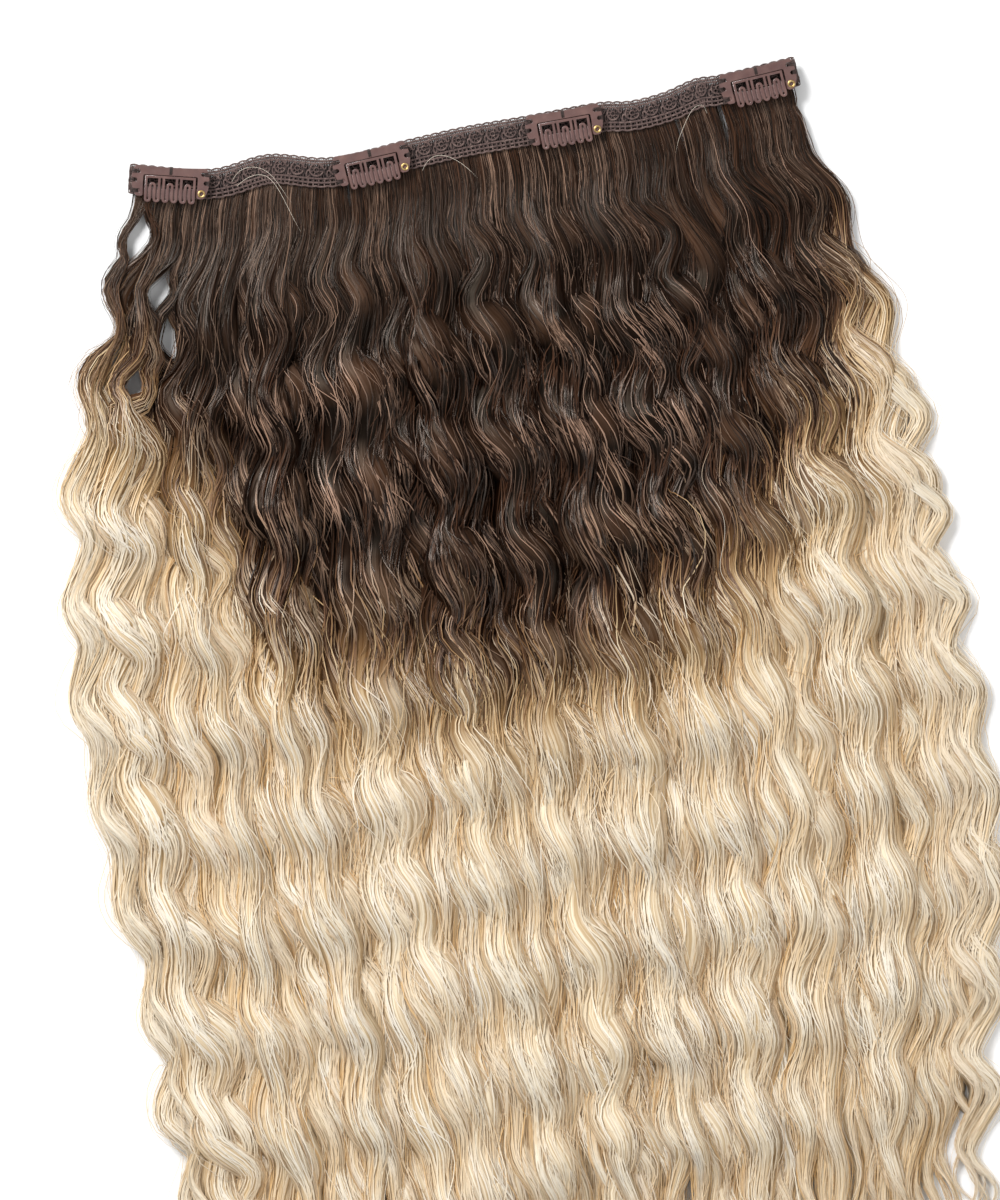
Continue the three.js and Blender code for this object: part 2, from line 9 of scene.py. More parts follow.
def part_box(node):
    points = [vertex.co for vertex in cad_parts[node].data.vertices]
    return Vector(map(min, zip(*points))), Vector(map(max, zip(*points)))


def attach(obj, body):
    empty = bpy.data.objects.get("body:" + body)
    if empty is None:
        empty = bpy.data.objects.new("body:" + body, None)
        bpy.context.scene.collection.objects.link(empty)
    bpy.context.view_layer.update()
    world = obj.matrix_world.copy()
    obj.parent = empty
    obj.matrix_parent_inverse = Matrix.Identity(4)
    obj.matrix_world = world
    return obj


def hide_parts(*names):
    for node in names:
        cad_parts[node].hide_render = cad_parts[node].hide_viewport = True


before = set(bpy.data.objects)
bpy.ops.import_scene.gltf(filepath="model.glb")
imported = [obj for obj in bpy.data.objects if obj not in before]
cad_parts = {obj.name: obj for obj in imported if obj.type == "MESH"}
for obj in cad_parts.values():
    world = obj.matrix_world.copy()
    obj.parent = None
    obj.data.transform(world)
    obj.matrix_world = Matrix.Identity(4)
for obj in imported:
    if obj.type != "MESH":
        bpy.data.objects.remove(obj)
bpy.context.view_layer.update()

# A clip-in weft that lies flat: lace band on top, four snap clips, long wavy hair.
# All sizes here are millimetres, and become metres where a mesh is made.
MM = 0.001
RNG = np.random.default_rng(41)
UP = np.array([0.0, 0.0, 1.0])

# Sizes shared with the solids
BAND_LENGTH, BAND_WIDTH, BAND_SAG = 238.0, 10.5, 9.0
TRACK_TOP, TRACK_INSET, TRACK_WIDTH = 3.2, 0.6, 7.0
LACE_BOTTOM, LACE_TOP = 3.5, 4.5
HAIR_LENGTH, HAIR_HEIGHT, HAIR_FLARE = 450.0, 14.0, 47.0
WAVE_LENGTH, WAVE_WIDTH, WAVE_LIFT = 36.0, 4.4, 0.13
LOCK_SPLIT, TIP_WIDTH, VALLEY_DEPTH = 0.855, 0.16, 0.6

# the upper edge's line: across, and how far it hangs there as a share of the sag
BAND_LINE = np.array([
    (-1.0, 0.03), (-0.765, 0.72), (-0.59, 0.5), (-0.41, 1.0), (-0.176, 0.78), (0.0, 0.62), (0.176, 0.58),
    (0.41, 0.5), (0.5, 0.63), (0.6, 0.5), (0.7, 0.16), (0.765, 0.17), (1.0, -0.1),
])
# shares of the hair's length, then of the flare on the left and on the right
OUTLINE = np.array([
    (0.0, 0.0, 0.0), (0.045, 0.2, 0.07), (0.125, 0.5, 0.28), (0.24, 0.82, 0.46), (0.38, 1.0, 0.58),
    (0.5, 0.98, 0.64), (0.61, 0.88, 0.62), (0.765, 0.8, 0.36), (1.0, 0.58, 0.06),
])
# right side of each lock, its length and its height
LOCKS = np.array([
    (-0.925, 0.93, 0.62), (-0.81, 0.965, 0.8), (-0.64, 0.985, 0.95), (-0.46, 0.965, 1.04),
    (-0.28, 1.0, 0.95), (-0.09, 0.975, 1.06), (0.09, 1.0, 0.97), (0.27, 0.97, 1.05),
    (0.45, 0.99, 0.94), (0.63, 0.965, 1.02), (0.82, 0.98, 0.86), (1.0, 0.94, 0.66),
])
# across, and how far down the colour changes there, over the range in length below
FADE_LINE = np.array([
    (-1.0, 50.0), (-0.87, 63.0), (-0.76, 92.0), (-0.65, 124.0), (-0.55, 152.0), (-0.4, 163.0), (-0.29, 173.0),
    (-0.16, 181.0), (0.0, 184.0), (0.12, 180.0), (0.27, 172.0), (0.44, 162.0), (0.62, 134.0), (0.84, 102.0),
    (1.0, 52.0),
])
FADE_RANGE = 100.0
# see-through gaps: across, down, width, length, lean
GAPS = np.array([
    (-1.01, 0.0503, 0.23, 0.46, -20), (-0.975, 0.0935, 0.2, 0.38, -14), (-1.136, 0.1124, 0.13, 0.42, 4),
    (-0.972, 0.1358, 0.11, 0.46, 8), (-1.087, 0.1637, 0.15, 0.36, 6), (1.0, 0.0278, 0.08, 0.26, 12),
])


def through(places, values, x):
    """The smooth curve that the solids are made with, through a table's values."""
    last = len(places) - 1
    i = np.searchsorted(places[1:last], x, side="left")
    at = lambda k: np.clip(k, 0, last)
    span = places[i + 1] - places[i]
    s = (x - places[i]) / span

    def slope(a, b):
        a, b = at(a), at(b)
        return (values[b] - values[a]) / np.where(b == a, 1, places[b] - places[a]) * span

    rise = values[i + 1] - values[i]
    return (values[i] + slope(i - 1, i + 1) * s * (1 - s) ** 2 - slope(i, i + 2) * s * s * (1 - s)
            + rise * s * s * (3 - 2 * s))


def smooth(start, end, x):
    s = np.clip((x - start) / (end - start), 0, 1)
    return s * s * (3 - 2 * s)


def band_line(x):
    return -BAND_SAG * through(BAND_LINE[:, 0], BAND_LINE[:, 1], x / (BAND_LENGTH / 2))


def on_band(x, depth):
    """Points of the band, depth below its upper edge, from the band's middle."""
    half = BAND_LENGTH / 2
    x = np.asarray(x, float)
    low, high = np.maximum(x - 1, -half), np.minimum(x + 1, half)
    slope = np.arctan2(band_line(high) - band_line(low), high - low)
    return x + np.sin(slope) * depth, band_line(x) - np.cos(slope) * depth


# The snap clips: sizes shared with the solids, heights above a clip's middle or its base
CLIP_COUNT, CLIP_END_MARGIN, CLIP_EDGE_INSET, CLIP_BASE = 4, 0.5, 0.3, 4.8
CLIP_TOP, ROOT_HEIGHT, LUG_FOOT, LUG_WIDTH, LUG_TAPER, TOP_DIP = 5.9, 2.4, -5.1, 4.35, 1.3, 0.4
SHEET, HOLE_RADIUS, RIVET_HEIGHT, RIVET_ACROSS = 0.6, 0.72, -3.2, 0.36
SEWING_HOLES = [(0.43, 3.7), (0.66, 0.6)]
TOOTH_GROUPS, LEG_PITCH, LEG_WIDTH, COMB_ROOT = 3, 1.555, 0.95, 0.8
WINDOW_INSET, TOOTH_TIP, ARCH_TOP, COMB_CLEARANCE = 0.15, -7.1, 0.05, 0.2
BAR_WIDTH, BAR_THICKNESS, BAR_BOW, BAR_RISE, BAR_BOTTOM = 3.0, 0.5, 0.8, 0.7, 0.5
SLEEVE_HALF, SLEEVE_INSET, SLEEVE_HEIGHT, PLATE_BOTTOM, PLATE_TOP = 2.0, 0.1, 1.5, 1.7, 2.3
EYELET_BORE, EYELET_WALL, EYELET_FLANGE, EYELET_LIP = 0.62, 0.33, 1.4, 0.28
COMB_HALF = 2 * TOOTH_GROUPS * LEG_PITCH - (LEG_PITCH - LEG_WIDTH) / 2
WINDOW_HALF = COMB_HALF + LEG_PITCH - LEG_WIDTH
CLIP_HALF = WINDOW_HALF + LUG_WIDTH
RIVET_X = WINDOW_HALF + RIVET_ACROSS * LUG_WIDTH

# The band's middle in the part's frame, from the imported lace
_lace = np.array(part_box("lace_band")) / MM
_ends = on_band(np.array([-1, -1, 1, 1]) * BAND_LENGTH / 2, np.array([0, BAND_WIDTH, 0, BAND_WIDTH]))
SHIFT = np.array([_lace[0][0] - _ends[0].min(), _lace[1][1] - _ends[1].max(), 0.0])


def wave_turn(a, d):
    drift = 0.9 * np.sin(2.1 * a + 0.4) + 0.5 * np.sin(5.3 * a + 1.9)
    return 2 * np.pi * d / WAVE_LENGTH + drift


def flare_at(a, d):
    share = np.maximum(d, 0) / HAIR_LENGTH
    left = through(OUTLINE[:, 0], OUTLINE[:, 1], share)
    right = through(OUTLINE[:, 0], OUTLINE[:, 2], share)
    return HAIR_FLARE * np.where(a < 0, left, right)


def surface(a, d):
    """The height of the locks' ridged surface."""
    share = np.maximum(d, 0) / HAIR_LENGTH
    sides = np.concatenate([[-1.0], LOCKS[:, 0]])
    i = np.clip(np.searchsorted(sides, a) - 1, 0, len(LOCKS) - 1)
    t = np.clip((a - sides[i]) / (sides[i + 1] - sides[i]), 0, 1)
    full = TRACK_TOP + (HAIR_HEIGHT - TRACK_TOP) * smooth(0.012, 0.15, share)
    thinned = full * (1 - 0.4 * smooth(0.72, 1, share))
    lift = WAVE_LIFT * np.cos(wave_turn(a, d))
    top = thinned * (1 + (LOCKS[i, 2] - 1 + lift) * smooth(0.02, 0.15, share))
    valley = 1 - VALLEY_DEPTH * smooth(0, 0.12, share)
    return top * (valley + (1 - valley) * np.sin(np.pi * t) ** 0.7)


# Colours

def linear(code):
    rgb = [int(code[i:i + 2], 16) / 255 for i in (1, 3, 5)]
    return [c / 12.92 if c <= 0.04045 else ((c + 0.055) / 1.055) ** 2.4 for c in rgb] + [1.0]


def grey(level):
    return (level, level, level, 1.0)


class Nodes:
    """A material's node tree, with short names for making and linking."""

    def __init__(self, name):
        self.material = bpy.data.materials.new(name)
        self.material.use_nodes = True
        self.tree = self.material.node_tree
        self.shader = self.tree.nodes["Principled BSDF"]

    def add(self, kind, **settings):
        node = self.tree.nodes.new("ShaderNode" + kind)
        inputs = settings.pop("inputs", {})
        for key, value in settings.items():
            setattr(node, key, value)
        for key, value in inputs.items():
            node.inputs[key].default_value = value
        return node

    def link(self, a, b):
        self.tree.links.new(a, b)

    def attribute(self, name):
        return self.add("Attribute", attribute_name=name)

    def ramp(self, factor, stops):
        node = self.add("ValToRGB")
        elements = node.color_ramp.elements
        while len(elements) > 1:
            elements.remove(elements[-1])
        for n, (place, colour) in enumerate(stops):
            e = elements[0] if n == 0 else elements.new(place)
            e.position = place
            e.color = colour if not isinstance(colour, str) else linear(colour)
        self.link(factor, node.inputs["Fac"])
        return node.outputs["Color"]

    def mix(self, a, b, factor, mode="MIX"):
        node = self.add("Mix", data_type="RGBA", blend_type=mode)
        for value, socket in ((factor, node.inputs["Factor"]), (a, node.inputs["A"]), (b, node.inputs["B"])):
            if isinstance(value, bpy.types.NodeSocket):
                self.link(value, socket)
            else:
                socket.default_value = value
        return node.outputs["Result"]

    def maths(self, kind, a, b=0.0, c=0.0):
        node = self.add("Math", operation=kind)
        for value, socket in zip((a, b, c), node.inputs):
            if isinstance(value, bpy.types.NodeSocket):
                self.link(value, socket)
            else:
                socket.default_value = value
        return node.outputs[0]

    def noise(self, scale, detail=2.0, stretch=None, coordinates="Object"):
        node = self.add("TexNoise", inputs={"Scale": scale, "Detail": detail})
        place = self.add("TexCoord").outputs[coordinates]
        if stretch:
            mapping = self.add("Mapping", inputs={"Scale": stretch})
            self.link(place, mapping.inputs["Vector"])
            place = mapping.outputs["Vector"]
        self.link(place, node.inputs["Vector"])
        return node.outputs["Fac"]

    def bump(self, height, strength, distance):
        node = self.add("Bump", inputs={"Strength": strength, "Distance": distance})
        self.link(height, node.inputs["Height"])
        self.link(node.outputs["Normal"], self.shader.inputs["Normal"])

    def set(self, **values):
        for key, value in values.items():
            socket = self.shader.inputs[key.replace("_", " ")]
            if isinstance(value, bpy.types.NodeSocket):
                self.link(value, socket)
            else:
                socket.default_value = value
        return self.material


def hair_colour(n):
    """Root to tip, from the fade attribute, with each strand's own tone; the tone also carries painted
    highlight at the wave crests and painted shade in the troughs.
    """
    fade = n.attribute("fade").outputs["Fac"]
    tone = n.attribute("tone").outputs["Fac"]
    base = n.ramp(fade, [
        (0.0, "#180d08"), (0.14, "#150b07"), (0.3, "#2a180f"), (0.44, "#5f4636"), (0.58, "#9a7a57"),
        (0.72, "#d0b995"), (0.86, "#e3d5bc"), (1.0, "#e8dfcd"),
    ])
    warm = n.ramp(fade, [
        (0.0, "#5c3d2b"), (0.2, "#563826"), (0.42, "#85624a"), (0.7, "#c9aa7d"), (1.0, "#ddc5a0"),
    ])
    pale = n.ramp(fade, [
        (0.0, "#ac8c79"), (0.2, "#a4856f"), (0.42, "#bfa78f"), (0.7, "#e7dfd2"), (1.0, "#ece7de"),
    ])
    colour = n.mix(base, warm, n.ramp(tone, [(0.05, grey(0.85)), (0.5, grey(0))]))
    return n.mix(colour, pale, n.ramp(tone, [(0.58, grey(0)), (0.95, grey(0.9))]))


def fibres(n, across, along):
    """Fine hairs that run down a strand: noise stretched along its own UV."""
    uv = n.add("UVMap", uv_map="OFBake").outputs["UV"]
    stretch = n.add("Mapping", inputs={"Scale": (across, along, 1.0)})
    n.link(uv, stretch.inputs["Vector"])
    noise = n.add("TexNoise", inputs={"Scale": 1.0, "Detail": 2.0})
    n.link(stretch.outputs["Vector"], noise.inputs["Vector"])
    return noise.outputs["Fac"]


def strand_material():
    n = Nodes("hair_strands")
    colour = hair_colour(n)
    fade = n.attribute("fade").outputs["Fac"]
    shadow = n.ramp(fade, [(0.3, "#0b0604"), (0.55, "#6a4728"), (0.8, "#c8995c"), (1.0, "#d4a968")])
    colour = n.mix(colour, shadow, n.maths("MULTIPLY", n.attribute("shade").outputs["Fac"], 0.75))
    fibre = fibres(n, STRANDS_PER_MESH * FIBRES_PER_STRAND, 6.0)
    colour = n.mix(colour, n.ramp(fibre, [(0.3, (0.76, 0.7, 0.61, 1)), (0.7, grey(1))]), 1.0, "MULTIPLY")
    n.bump(fibre, 0.35, 0.0002)
    rough = n.ramp(fade, [(0.3, grey(0.27)), (0.8, grey(0.4))])
    return n.set(Base_Color=colour, Roughness=rough, Anisotropic=0.8, Specular_IOR_Level=0.28,
                 Specular_Tint=(1.0, 0.88, 0.78, 1))


def core_material():
    n = Nodes("hair_core")
    colour = hair_colour(n)
    fade = n.attribute("fade").outputs["Fac"]
    fibre = fibres(n, 2200.0, 9.0)
    # Painted shade: the cores lie under the strands and are darkened as the shade inside the hair, most at
    # the dark roots.
    depth = n.ramp(fade, [(0.3, (0.27, 0.23, 0.2, 1)), (0.9, (0.94, 0.89, 0.8, 1))])
    streak = n.ramp(fibre, [(0.4, (0.62, 0.52, 0.4, 1)), (0.6, grey(1))])
    colour = n.mix(n.mix(colour, depth, 1.0, "MULTIPLY"), streak, 1.0, "MULTIPLY")
    n.bump(fibre, 0.5, 0.0003)
    return n.set(Base_Color=colour, Roughness=0.42, Anisotropic=0.6, Specular_IOR_Level=0.14,
                 Specular_Tint=(1.0, 0.8, 0.62, 1))


def lace_material():
    """Twisted thread, with painted shade on the threads in the lower half of the band's thickness."""
    n = Nodes("lace")
    tint = n.ramp(n.noise(700.0, 3.0), [(0.3, "#46332f"), (0.55, "#644f4a"), (0.8, "#8a746c")])
    twist = n.noise(2600.0, 2.0)
    colour = n.mix(tint, n.ramp(twist, [(0.35, grey(0.6)), (0.65, grey(1))]), 1.0, "MULTIPLY")
    # Painted shade: threads lying low in the band, such as the fine net, are darkened by their height.
    split = n.add("SeparateXYZ")
    n.link(n.add("TexCoord").outputs["Object"], split.inputs["Vector"])
    height = n.maths("MULTIPLY_ADD", split.outputs["Z"], 1 / MM, 0.5 - LACE_MIDDLE)
    colour = n.mix(colour, n.ramp(height, [(0.28, grey(0.12)), (0.65, grey(1))]), 1.0, "MULTIPLY")
    n.bump(twist, 0.5, 0.0001)
    return n.set(Base_Color=colour, Roughness=0.75, Specular_IOR_Level=0.35, Sheen_Weight=0.25)


def track_material():
    n = Nodes("track_fabric")
    weave = n.noise(1800.0, 3.0, (1, 2.5, 1))
    n.bump(weave, 0.6, 0.0002)
    tint = n.ramp(weave, [(0.3, "#130c0a"), (0.7, "#2b1d19")])
    return n.set(Base_Color=tint, Roughness=0.8, Specular_IOR_Level=0.2)


def thread_material():
    n = Nodes("sewing_thread")
    twist = n.noise(3000.0, 2.0)
    n.bump(twist, 0.5, 0.0001)
    tint = n.ramp(twist, [(0.35, "#1d1513"), (0.65, "#3b2d28")])
    return n.set(Base_Color=tint, Roughness=0.6, Specular_IOR_Level=0.4)


def paint_material():
    n = Nodes("clip_paint")
    cloud = n.ramp(n.noise(240.0, 4.0), [(0.3, "#533936"), (0.6, "#614540"), (0.8, "#70534d")])
    speck = n.ramp(n.noise(5200.0, 1.0), [(0.68, grey(0)), (0.74, grey(1))])
    colour = n.mix(cloud, linear("#a58278"), n.maths("MULTIPLY", speck, 0.35))
    rough = n.ramp(n.noise(420.0, 3.0), [(0.3, grey(0.3)), (0.7, grey(0.46))])
    n.bump(n.noise(900.0, 3.0), 0.12, 0.0002)
    return n.set(Base_Color=colour, Roughness=rough, Specular_IOR_Level=0.5, Coat_Weight=0.4,
                 Coat_Roughness=0.12)


def sleeve_material():
    n = Nodes("soft_sleeve")
    tint = n.ramp(n.noise(500.0, 3.0), [(0.3, "#8a6a66"), (0.7, "#ab8b86")])
    n.bump(n.noise(700.0, 2.0), 0.15, 0.0002)
    return n.set(Base_Color=tint, Roughness=0.16, Transmission_Weight=0.15, IOR=1.41, Coat_Weight=0.5,
                 Coat_Roughness=0.05)


def brass_material():
    n = Nodes("brass")
    worn = n.noise(1500.0, 3.0)
    tint = n.ramp(worn, [(0.35, "#a9864a"), (0.65, "#d6bd88")])
    return n.set(Base_Color=tint, Metallic=1.0, Roughness=n.ramp(worn, [(0.3, grey(0.3)), (0.7, grey(0.42))]))


# Mesh making

def place(points):
    return (np.asarray(points, float) + SHIFT) * MM


def new_object(name, mesh, material, body="weft", replaces=()):
    obj = bpy.data.objects.new(name, mesh)
    bpy.context.collection.objects.link(obj)
    mesh.materials.clear()
    mesh.materials.append(material)
    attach(obj, body)
    if replaces:
        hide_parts(*replaces)
    return obj


def as_is(points):
    return np.asarray(points, float)


def grid_mesh(name, points, closed=False, uv=True, floats=None, flip=False, put=place):
    """One mesh of many strips: points are (strips, along, across, 3), floats (strips, along)."""
    strips, along, across = points.shape[:3]
    ids = np.arange(strips * along * across).reshape(strips, along, across)
    right = np.roll(ids, -1, axis=2) if closed else ids[:, :, 1:]
    left = ids if closed else ids[:, :, :-1]
    faces = np.stack([left[:, :-1], right[:, :-1], right[:, 1:], left[:, 1:]], -1)
    if flip:
        faces = faces[..., ::-1]
    columns = faces.shape[2]
    faces = faces.reshape(-1, 4)
    mesh = bpy.data.meshes.new(name)
    mesh.vertices.add(ids.size)
    mesh.vertices.foreach_set("co", put(points.reshape(-1, 3)).ravel())
    mesh.loops.add(faces.size)
    mesh.loops.foreach_set("vertex_index", faces.ravel())
    mesh.polygons.add(len(faces))
    mesh.polygons.foreach_set("loop_start", np.arange(0, faces.size, 4))
    mesh.polygons.foreach_set("loop_total", np.full(len(faces), 4))
    mesh.polygons.foreach_set("use_smooth", np.ones(len(faces), bool))
    if uv:
        layer = mesh.uv_layers.new(name="OFBake")
        s, v, c = np.meshgrid(np.arange(strips), np.arange(along - 1), np.arange(columns), indexing="ij")
        pad = 0.08
        u0 = (s + pad + (1 - 2 * pad) * c / columns) / strips
        u1 = (s + pad + (1 - 2 * pad) * (c + 1) / columns) / strips
        v0, v1 = v / (along - 1), (v + 1) / (along - 1)
        corners = [(u0, v0), (u1, v0), (u1, v1), (u0, v1)]
        if flip:
            corners.reverse()
        layer.data.foreach_set("uv", np.stack([np.stack(k, -1) for k in corners], -2).ravel())
    for key, values in (floats or {}).items():
        attribute = mesh.attributes.new(key, "FLOAT", "POINT")
        full = np.broadcast_to(np.asarray(values)[..., None], ids.shape)
        attribute.data.foreach_set("value", np.ascontiguousarray(full, np.float32).ravel())
    mesh.update(calc_edges=True)
    mesh.validate()
    return mesh


# The hair: clumps that wave down from the band, each a core with strands on it
STEPS, FINER = 115, 4
DOWN = np.linspace(-2.5, HAIR_LENGTH, FINER * (STEPS - 1) + 1)
CLUMPS, STRANDS_EACH, STRAND_MESHES = 96, 30, 4
STRANDS_PER_MESH = CLUMPS * STRANDS_EACH / STRAND_MESHES
FIBRES_PER_STRAND = 5.0
CLUMP_SPREAD, ROOT_HALF, LAYER_LOW, TOP_LIMIT = 0.985, 1.7, 0.64, 1.14
CLUMP_HALF = (2.3, 8.4)
STRAND_HALF, FLYAWAY_HALF, STRAY_HALF = (0.11, 0.3), (0.05, 0.1), 0.045
LOOSE_SHARE, LOOSE_FROM, CROSSING_SHARE = 0.24, 0.13, 0.26
FLYAWAYS, LEFT_HAIRS, RIGHT_HAIRS, EDGE_CLUMPS = 260, 62, 48, 5
LOWEST = 0.5


def gap_ovals():
    """Each see-through gap's middle, half width, half length and lean."""
    for across, down, wide, long, lean in GAPS:
        gx, gy = across * BAND_LENGTH / 2, -BAND_SAG / 2 - down * HAIR_LENGTH
        yield gx, gy, wide * WAVE_LENGTH / 2, long * WAVE_LENGTH / 2, math.radians(lean)


def gap_shift(x, y, width):
    """How far sideways a clump's line moves to leave the see-through gaps open."""
    shift = np.zeros_like(x)
    for gx, gy, w, h, t in gap_ovals():
        u = (x - gx) * math.cos(t) + (y - gy) * math.sin(t)
        v = -(x - gx) * math.sin(t) + (y - gy) * math.cos(t)
        near = np.argmin(np.abs(v), axis=-1)
        side = np.sign(np.take_along_axis(u, near[:, None], -1))
        open_ = np.clip(1 - (v / (1.15 * h)) ** 2, 0, 1)
        need = open_ * (w + width) - side * u
        soft = 0.5 * np.log1p(np.exp(np.clip(need / 0.5, -30, 30))) * smooth(0, 0.12, open_)
        shift += side * soft
    return shift


def near_gap(x, y):
    """1 beside a see-through gap, 0 away from all of them."""
    near = np.zeros_like(x)
    margin = 7
    for gx, gy, w, h, _ in gap_ovals():
        reach = np.hypot((x - gx) / (w + margin), (y - gy) / (h + margin))
        near = np.maximum(near, 1 - smooth(0.7, 1.1, reach))
    return near


def clump_lines():
    """Each clump's middle line, half width and height, and how its wave has turned."""
    spread = (np.arange(CLUMPS) + 0.5 + RNG.uniform(-0.38, 0.38, CLUMPS)) / CLUMPS * 2 - 1
    a = CLUMP_SPREAD * spread
    column = lambda low, high: RNG.uniform(low, high, CLUMPS)[:, None]
    sides = np.concatenate([[-1.0], LOCKS[:, 0]])
    lock = np.clip(np.searchsorted(sides, a) - 1, 0, len(LOCKS) - 1)
    middle = (sides[lock] + sides[lock + 1]) / 2
    length = HAIR_LENGTH * (LOCKS[lock, 1] - RNG.uniform(0, 0.035, CLUMPS))
    run = np.minimum(DOWN[None, :], length[:, None])
    end = LOCKS[lock, 1][:, None] * HAIR_LENGTH
    narrow = 1 - (1 - TIP_WIDTH) * smooth(LOCK_SPLIT * HAIR_LENGTH, end, run)
    stray = 0.02 * smooth(30, 110, run) * np.sin(run / column(20, 50) + column(0, 6.3))
    stray = stray * (1 - 0.75 * smooth(0.78, 0.93, np.abs(a)))[:, None]
    across = middle[:, None] + (a - middle)[:, None] * narrow + stray * narrow
    across = np.clip(across, -0.99, 0.99)
    half = BAND_LENGTH / 2 - TRACK_INSET
    rx, ry = on_band(across * half, BAND_WIDTH - TRACK_INSET + np.minimum(run, 0))
    late = RNG.normal(0, 0.85, CLUMPS)[:, None] * (1 - 0.6 * smooth(0.7, 0.95, np.abs(across)))
    late = late + 0.6 * np.sin(run / 61 + column(0, 6.3))
    late = late + 0.45 * np.sin(run / 27 + column(0, 6.3))
    turn = wave_turn(across, run) + late * smooth(15, 60, run)
    amount = column(0.6, 1.1) * (1 + 0.35 * np.sin(run / 38 + column(0, 6.3)))
    inner = 1 - (0.38 + 0.2 * smooth(150, 240, run)) * smooth(0.96, 0.7, np.abs(across))
    sway = WAVE_WIDTH * smooth(-0.01, 0.085, run / HAIR_LENGTH) * amount * inner
    x = rx + across * flare_at(across, run) + sway * (np.sin(turn) + 0.1 * np.sin(2 * turn + late))
    y = ry - np.maximum(run, 0)
    full = column(*CLUMP_HALF) * (1 - 0.3 * smooth(0.85, 0.97, np.abs(across)))
    width = ROOT_HALF + (full - ROOT_HALF) * smooth(5, 70, run)
    width = width * (1 + 0.2 * np.sin(turn * 0.5 + late)) * (1 - 0.45 * near_gap(x, y))
    left = length[:, None] - run
    tip = smooth(0.0, 0.26, left / HAIR_LENGTH)
    width = width * (TIP_WIDTH + (1 - TIP_WIDTH) * tip)
    x = x + gap_shift(x, y, width + 0.5)
    layer = RNG.permutation(np.linspace(LAYER_LOW, 1.0, CLUMPS))[:, None]
    lift = 1 + 0.1 * np.cos(turn) * smooth(30, 80, run)
    top = surface(across, run) * (1 - (1 - layer) * smooth(8, 45, run)) * lift
    top = top * (0.3 + 0.7 * smooth(0, 70, left))
    top = np.minimum(top, HAIR_HEIGHT * TOP_LIMIT)
    rise = np.minimum(0.6 * width, 0.7 * top) * (0.2 + 0.8 * smooth(10, 65, run))
    lines = dict(across=across, run=run, x=x, y=y, width=width, top=top, turn=turn, rise=rise, left=left)
    return lines, length


def fade_of(a, d, jitter):
    """0 at the root, 1 where the hair is fully blond; the change lies lower in the middle."""
    middle = np.interp(a, FADE_LINE[:, 0], FADE_LINE[:, 1])
    return np.clip(0.5 + (d - middle + jitter) / FADE_RANGE, 0, 1)


def side_ways(x, y):
    """Unit vectors along lines and level across them, for (lines, along) arrays."""
    tx, ty = np.gradient(x, axis=-1), np.gradient(y, axis=-1)
    norm = np.hypot(tx, ty) + 1e-9
    return tx / norm, ty / norm, -ty / norm, tx / norm


def cores(c, material):
    """Each clump's body: an arched top, and a wider foot that lies on the surface."""
    keys = ("x", "y", "top", "width", "rise", "across", "run", "left")
    x, y, top, width, rise, across, run, left = (c[k][:, ::FINER] for k in keys)
    thin = 0.02 + 0.98 * smooth(4, 60, left)
    width, rise = width * thin, rise * thin
    _, _, nx, ny = side_ways(x, y)
    foot = RNG.uniform(0.1, 0.9, CLUMPS)[:, None]
    skirt = smooth(0.97, 0.9, np.abs(across)) * (1 - near_gap(x, y)) * smooth(20, 60, run)
    skirt = skirt * smooth(0, 0.1, LOCK_SPLIT - run / HAIR_LENGTH)
    reach, hem = 0.8 * width + 3.8 * skirt, foot + 0.25 * top * skirt
    rows = [(reach, hem), (-reach, hem)]
    for turn in np.radians([-68, 0, 68]):
        rows.append((0.95 * width * math.sin(turn), top - 0.2 - rise + rise * math.cos(turn)))
    lines = [np.stack([x + nx * out, y + ny * out, np.maximum(z, foot) + 0 * x], -1) for out, z in rows]
    points = np.stack(lines, 2)
    fade = fade_of(across, run, RNG.normal(0, 8, CLUMPS)[:, None])
    # Tone: each clump's own random tone, plus painted highlight on the wave crests and painted shade in the
    # troughs, from cos(turn).
    tone = RNG.uniform(0.3, 0.7, CLUMPS)[:, None] + 0.15 * np.cos(c["turn"][:, ::FINER])
    for n, part in enumerate(np.array_split(np.arange(CLUMPS), 2), 1):
        mesh = grid_mesh(f"hair_core_{n}", points[part], closed=True, flip=True,
                         floats={"fade": fade[part], "tone": tone[part]})
        new_object(f"hair_core_{n}", mesh, material, replaces=("hair_weft",) if n == 1 else ())


def between(table, rows, place):
    """A table's values at fractional places along its rows."""
    low = np.clip(place.astype(int), 0, table.shape[1] - 2)
    mix = place - low
    table = table[rows]
    return np.take_along_axis(table, low, 1) * (1 - mix) + np.take_along_axis(table, low + 1, 1) * mix


def strand_lines(c, which, length):
    """The clumps' values at each strand's own steps; some strands cross over to a clump beside theirs."""
    total = len(which)
    share = np.linspace(0, 1, STEPS)
    per_mm = (len(DOWN) - 1) / (DOWN[-1] - DOWN[0])
    d = DOWN[0] + (length - DOWN[0])[:, None] * share
    crowd = np.sin(2 * between(c["turn"], which, (d - DOWN[0]) * per_mm))
    d = d + 0.35 * WAVE_LENGTH / (4 * np.pi) * crowd * (share > 0) * (share < 1)
    pick = (d - DOWN[0]) * per_mm
    beside = np.clip(which + RNG.choice([-2, -1, 1, 2], total), 0, CLUMPS - 1)
    start = RNG.uniform(20, 330, total)
    cross = smooth(0, 1, (d - start[:, None]) / RNG.uniform(55, 140, total)[:, None])
    cross = cross * (RNG.random(total) < CROSSING_SHARE)[:, None]
    keys = ("x", "y", "width", "top", "turn", "across", "rise")
    values = [between(c[k], which, pick) * (1 - cross) + between(c[k], beside, pick) * cross for k in keys]
    low = surface(values[5], np.maximum(d, 0))
    return share, d, values, np.clip(values[3] / low, 0, 2)


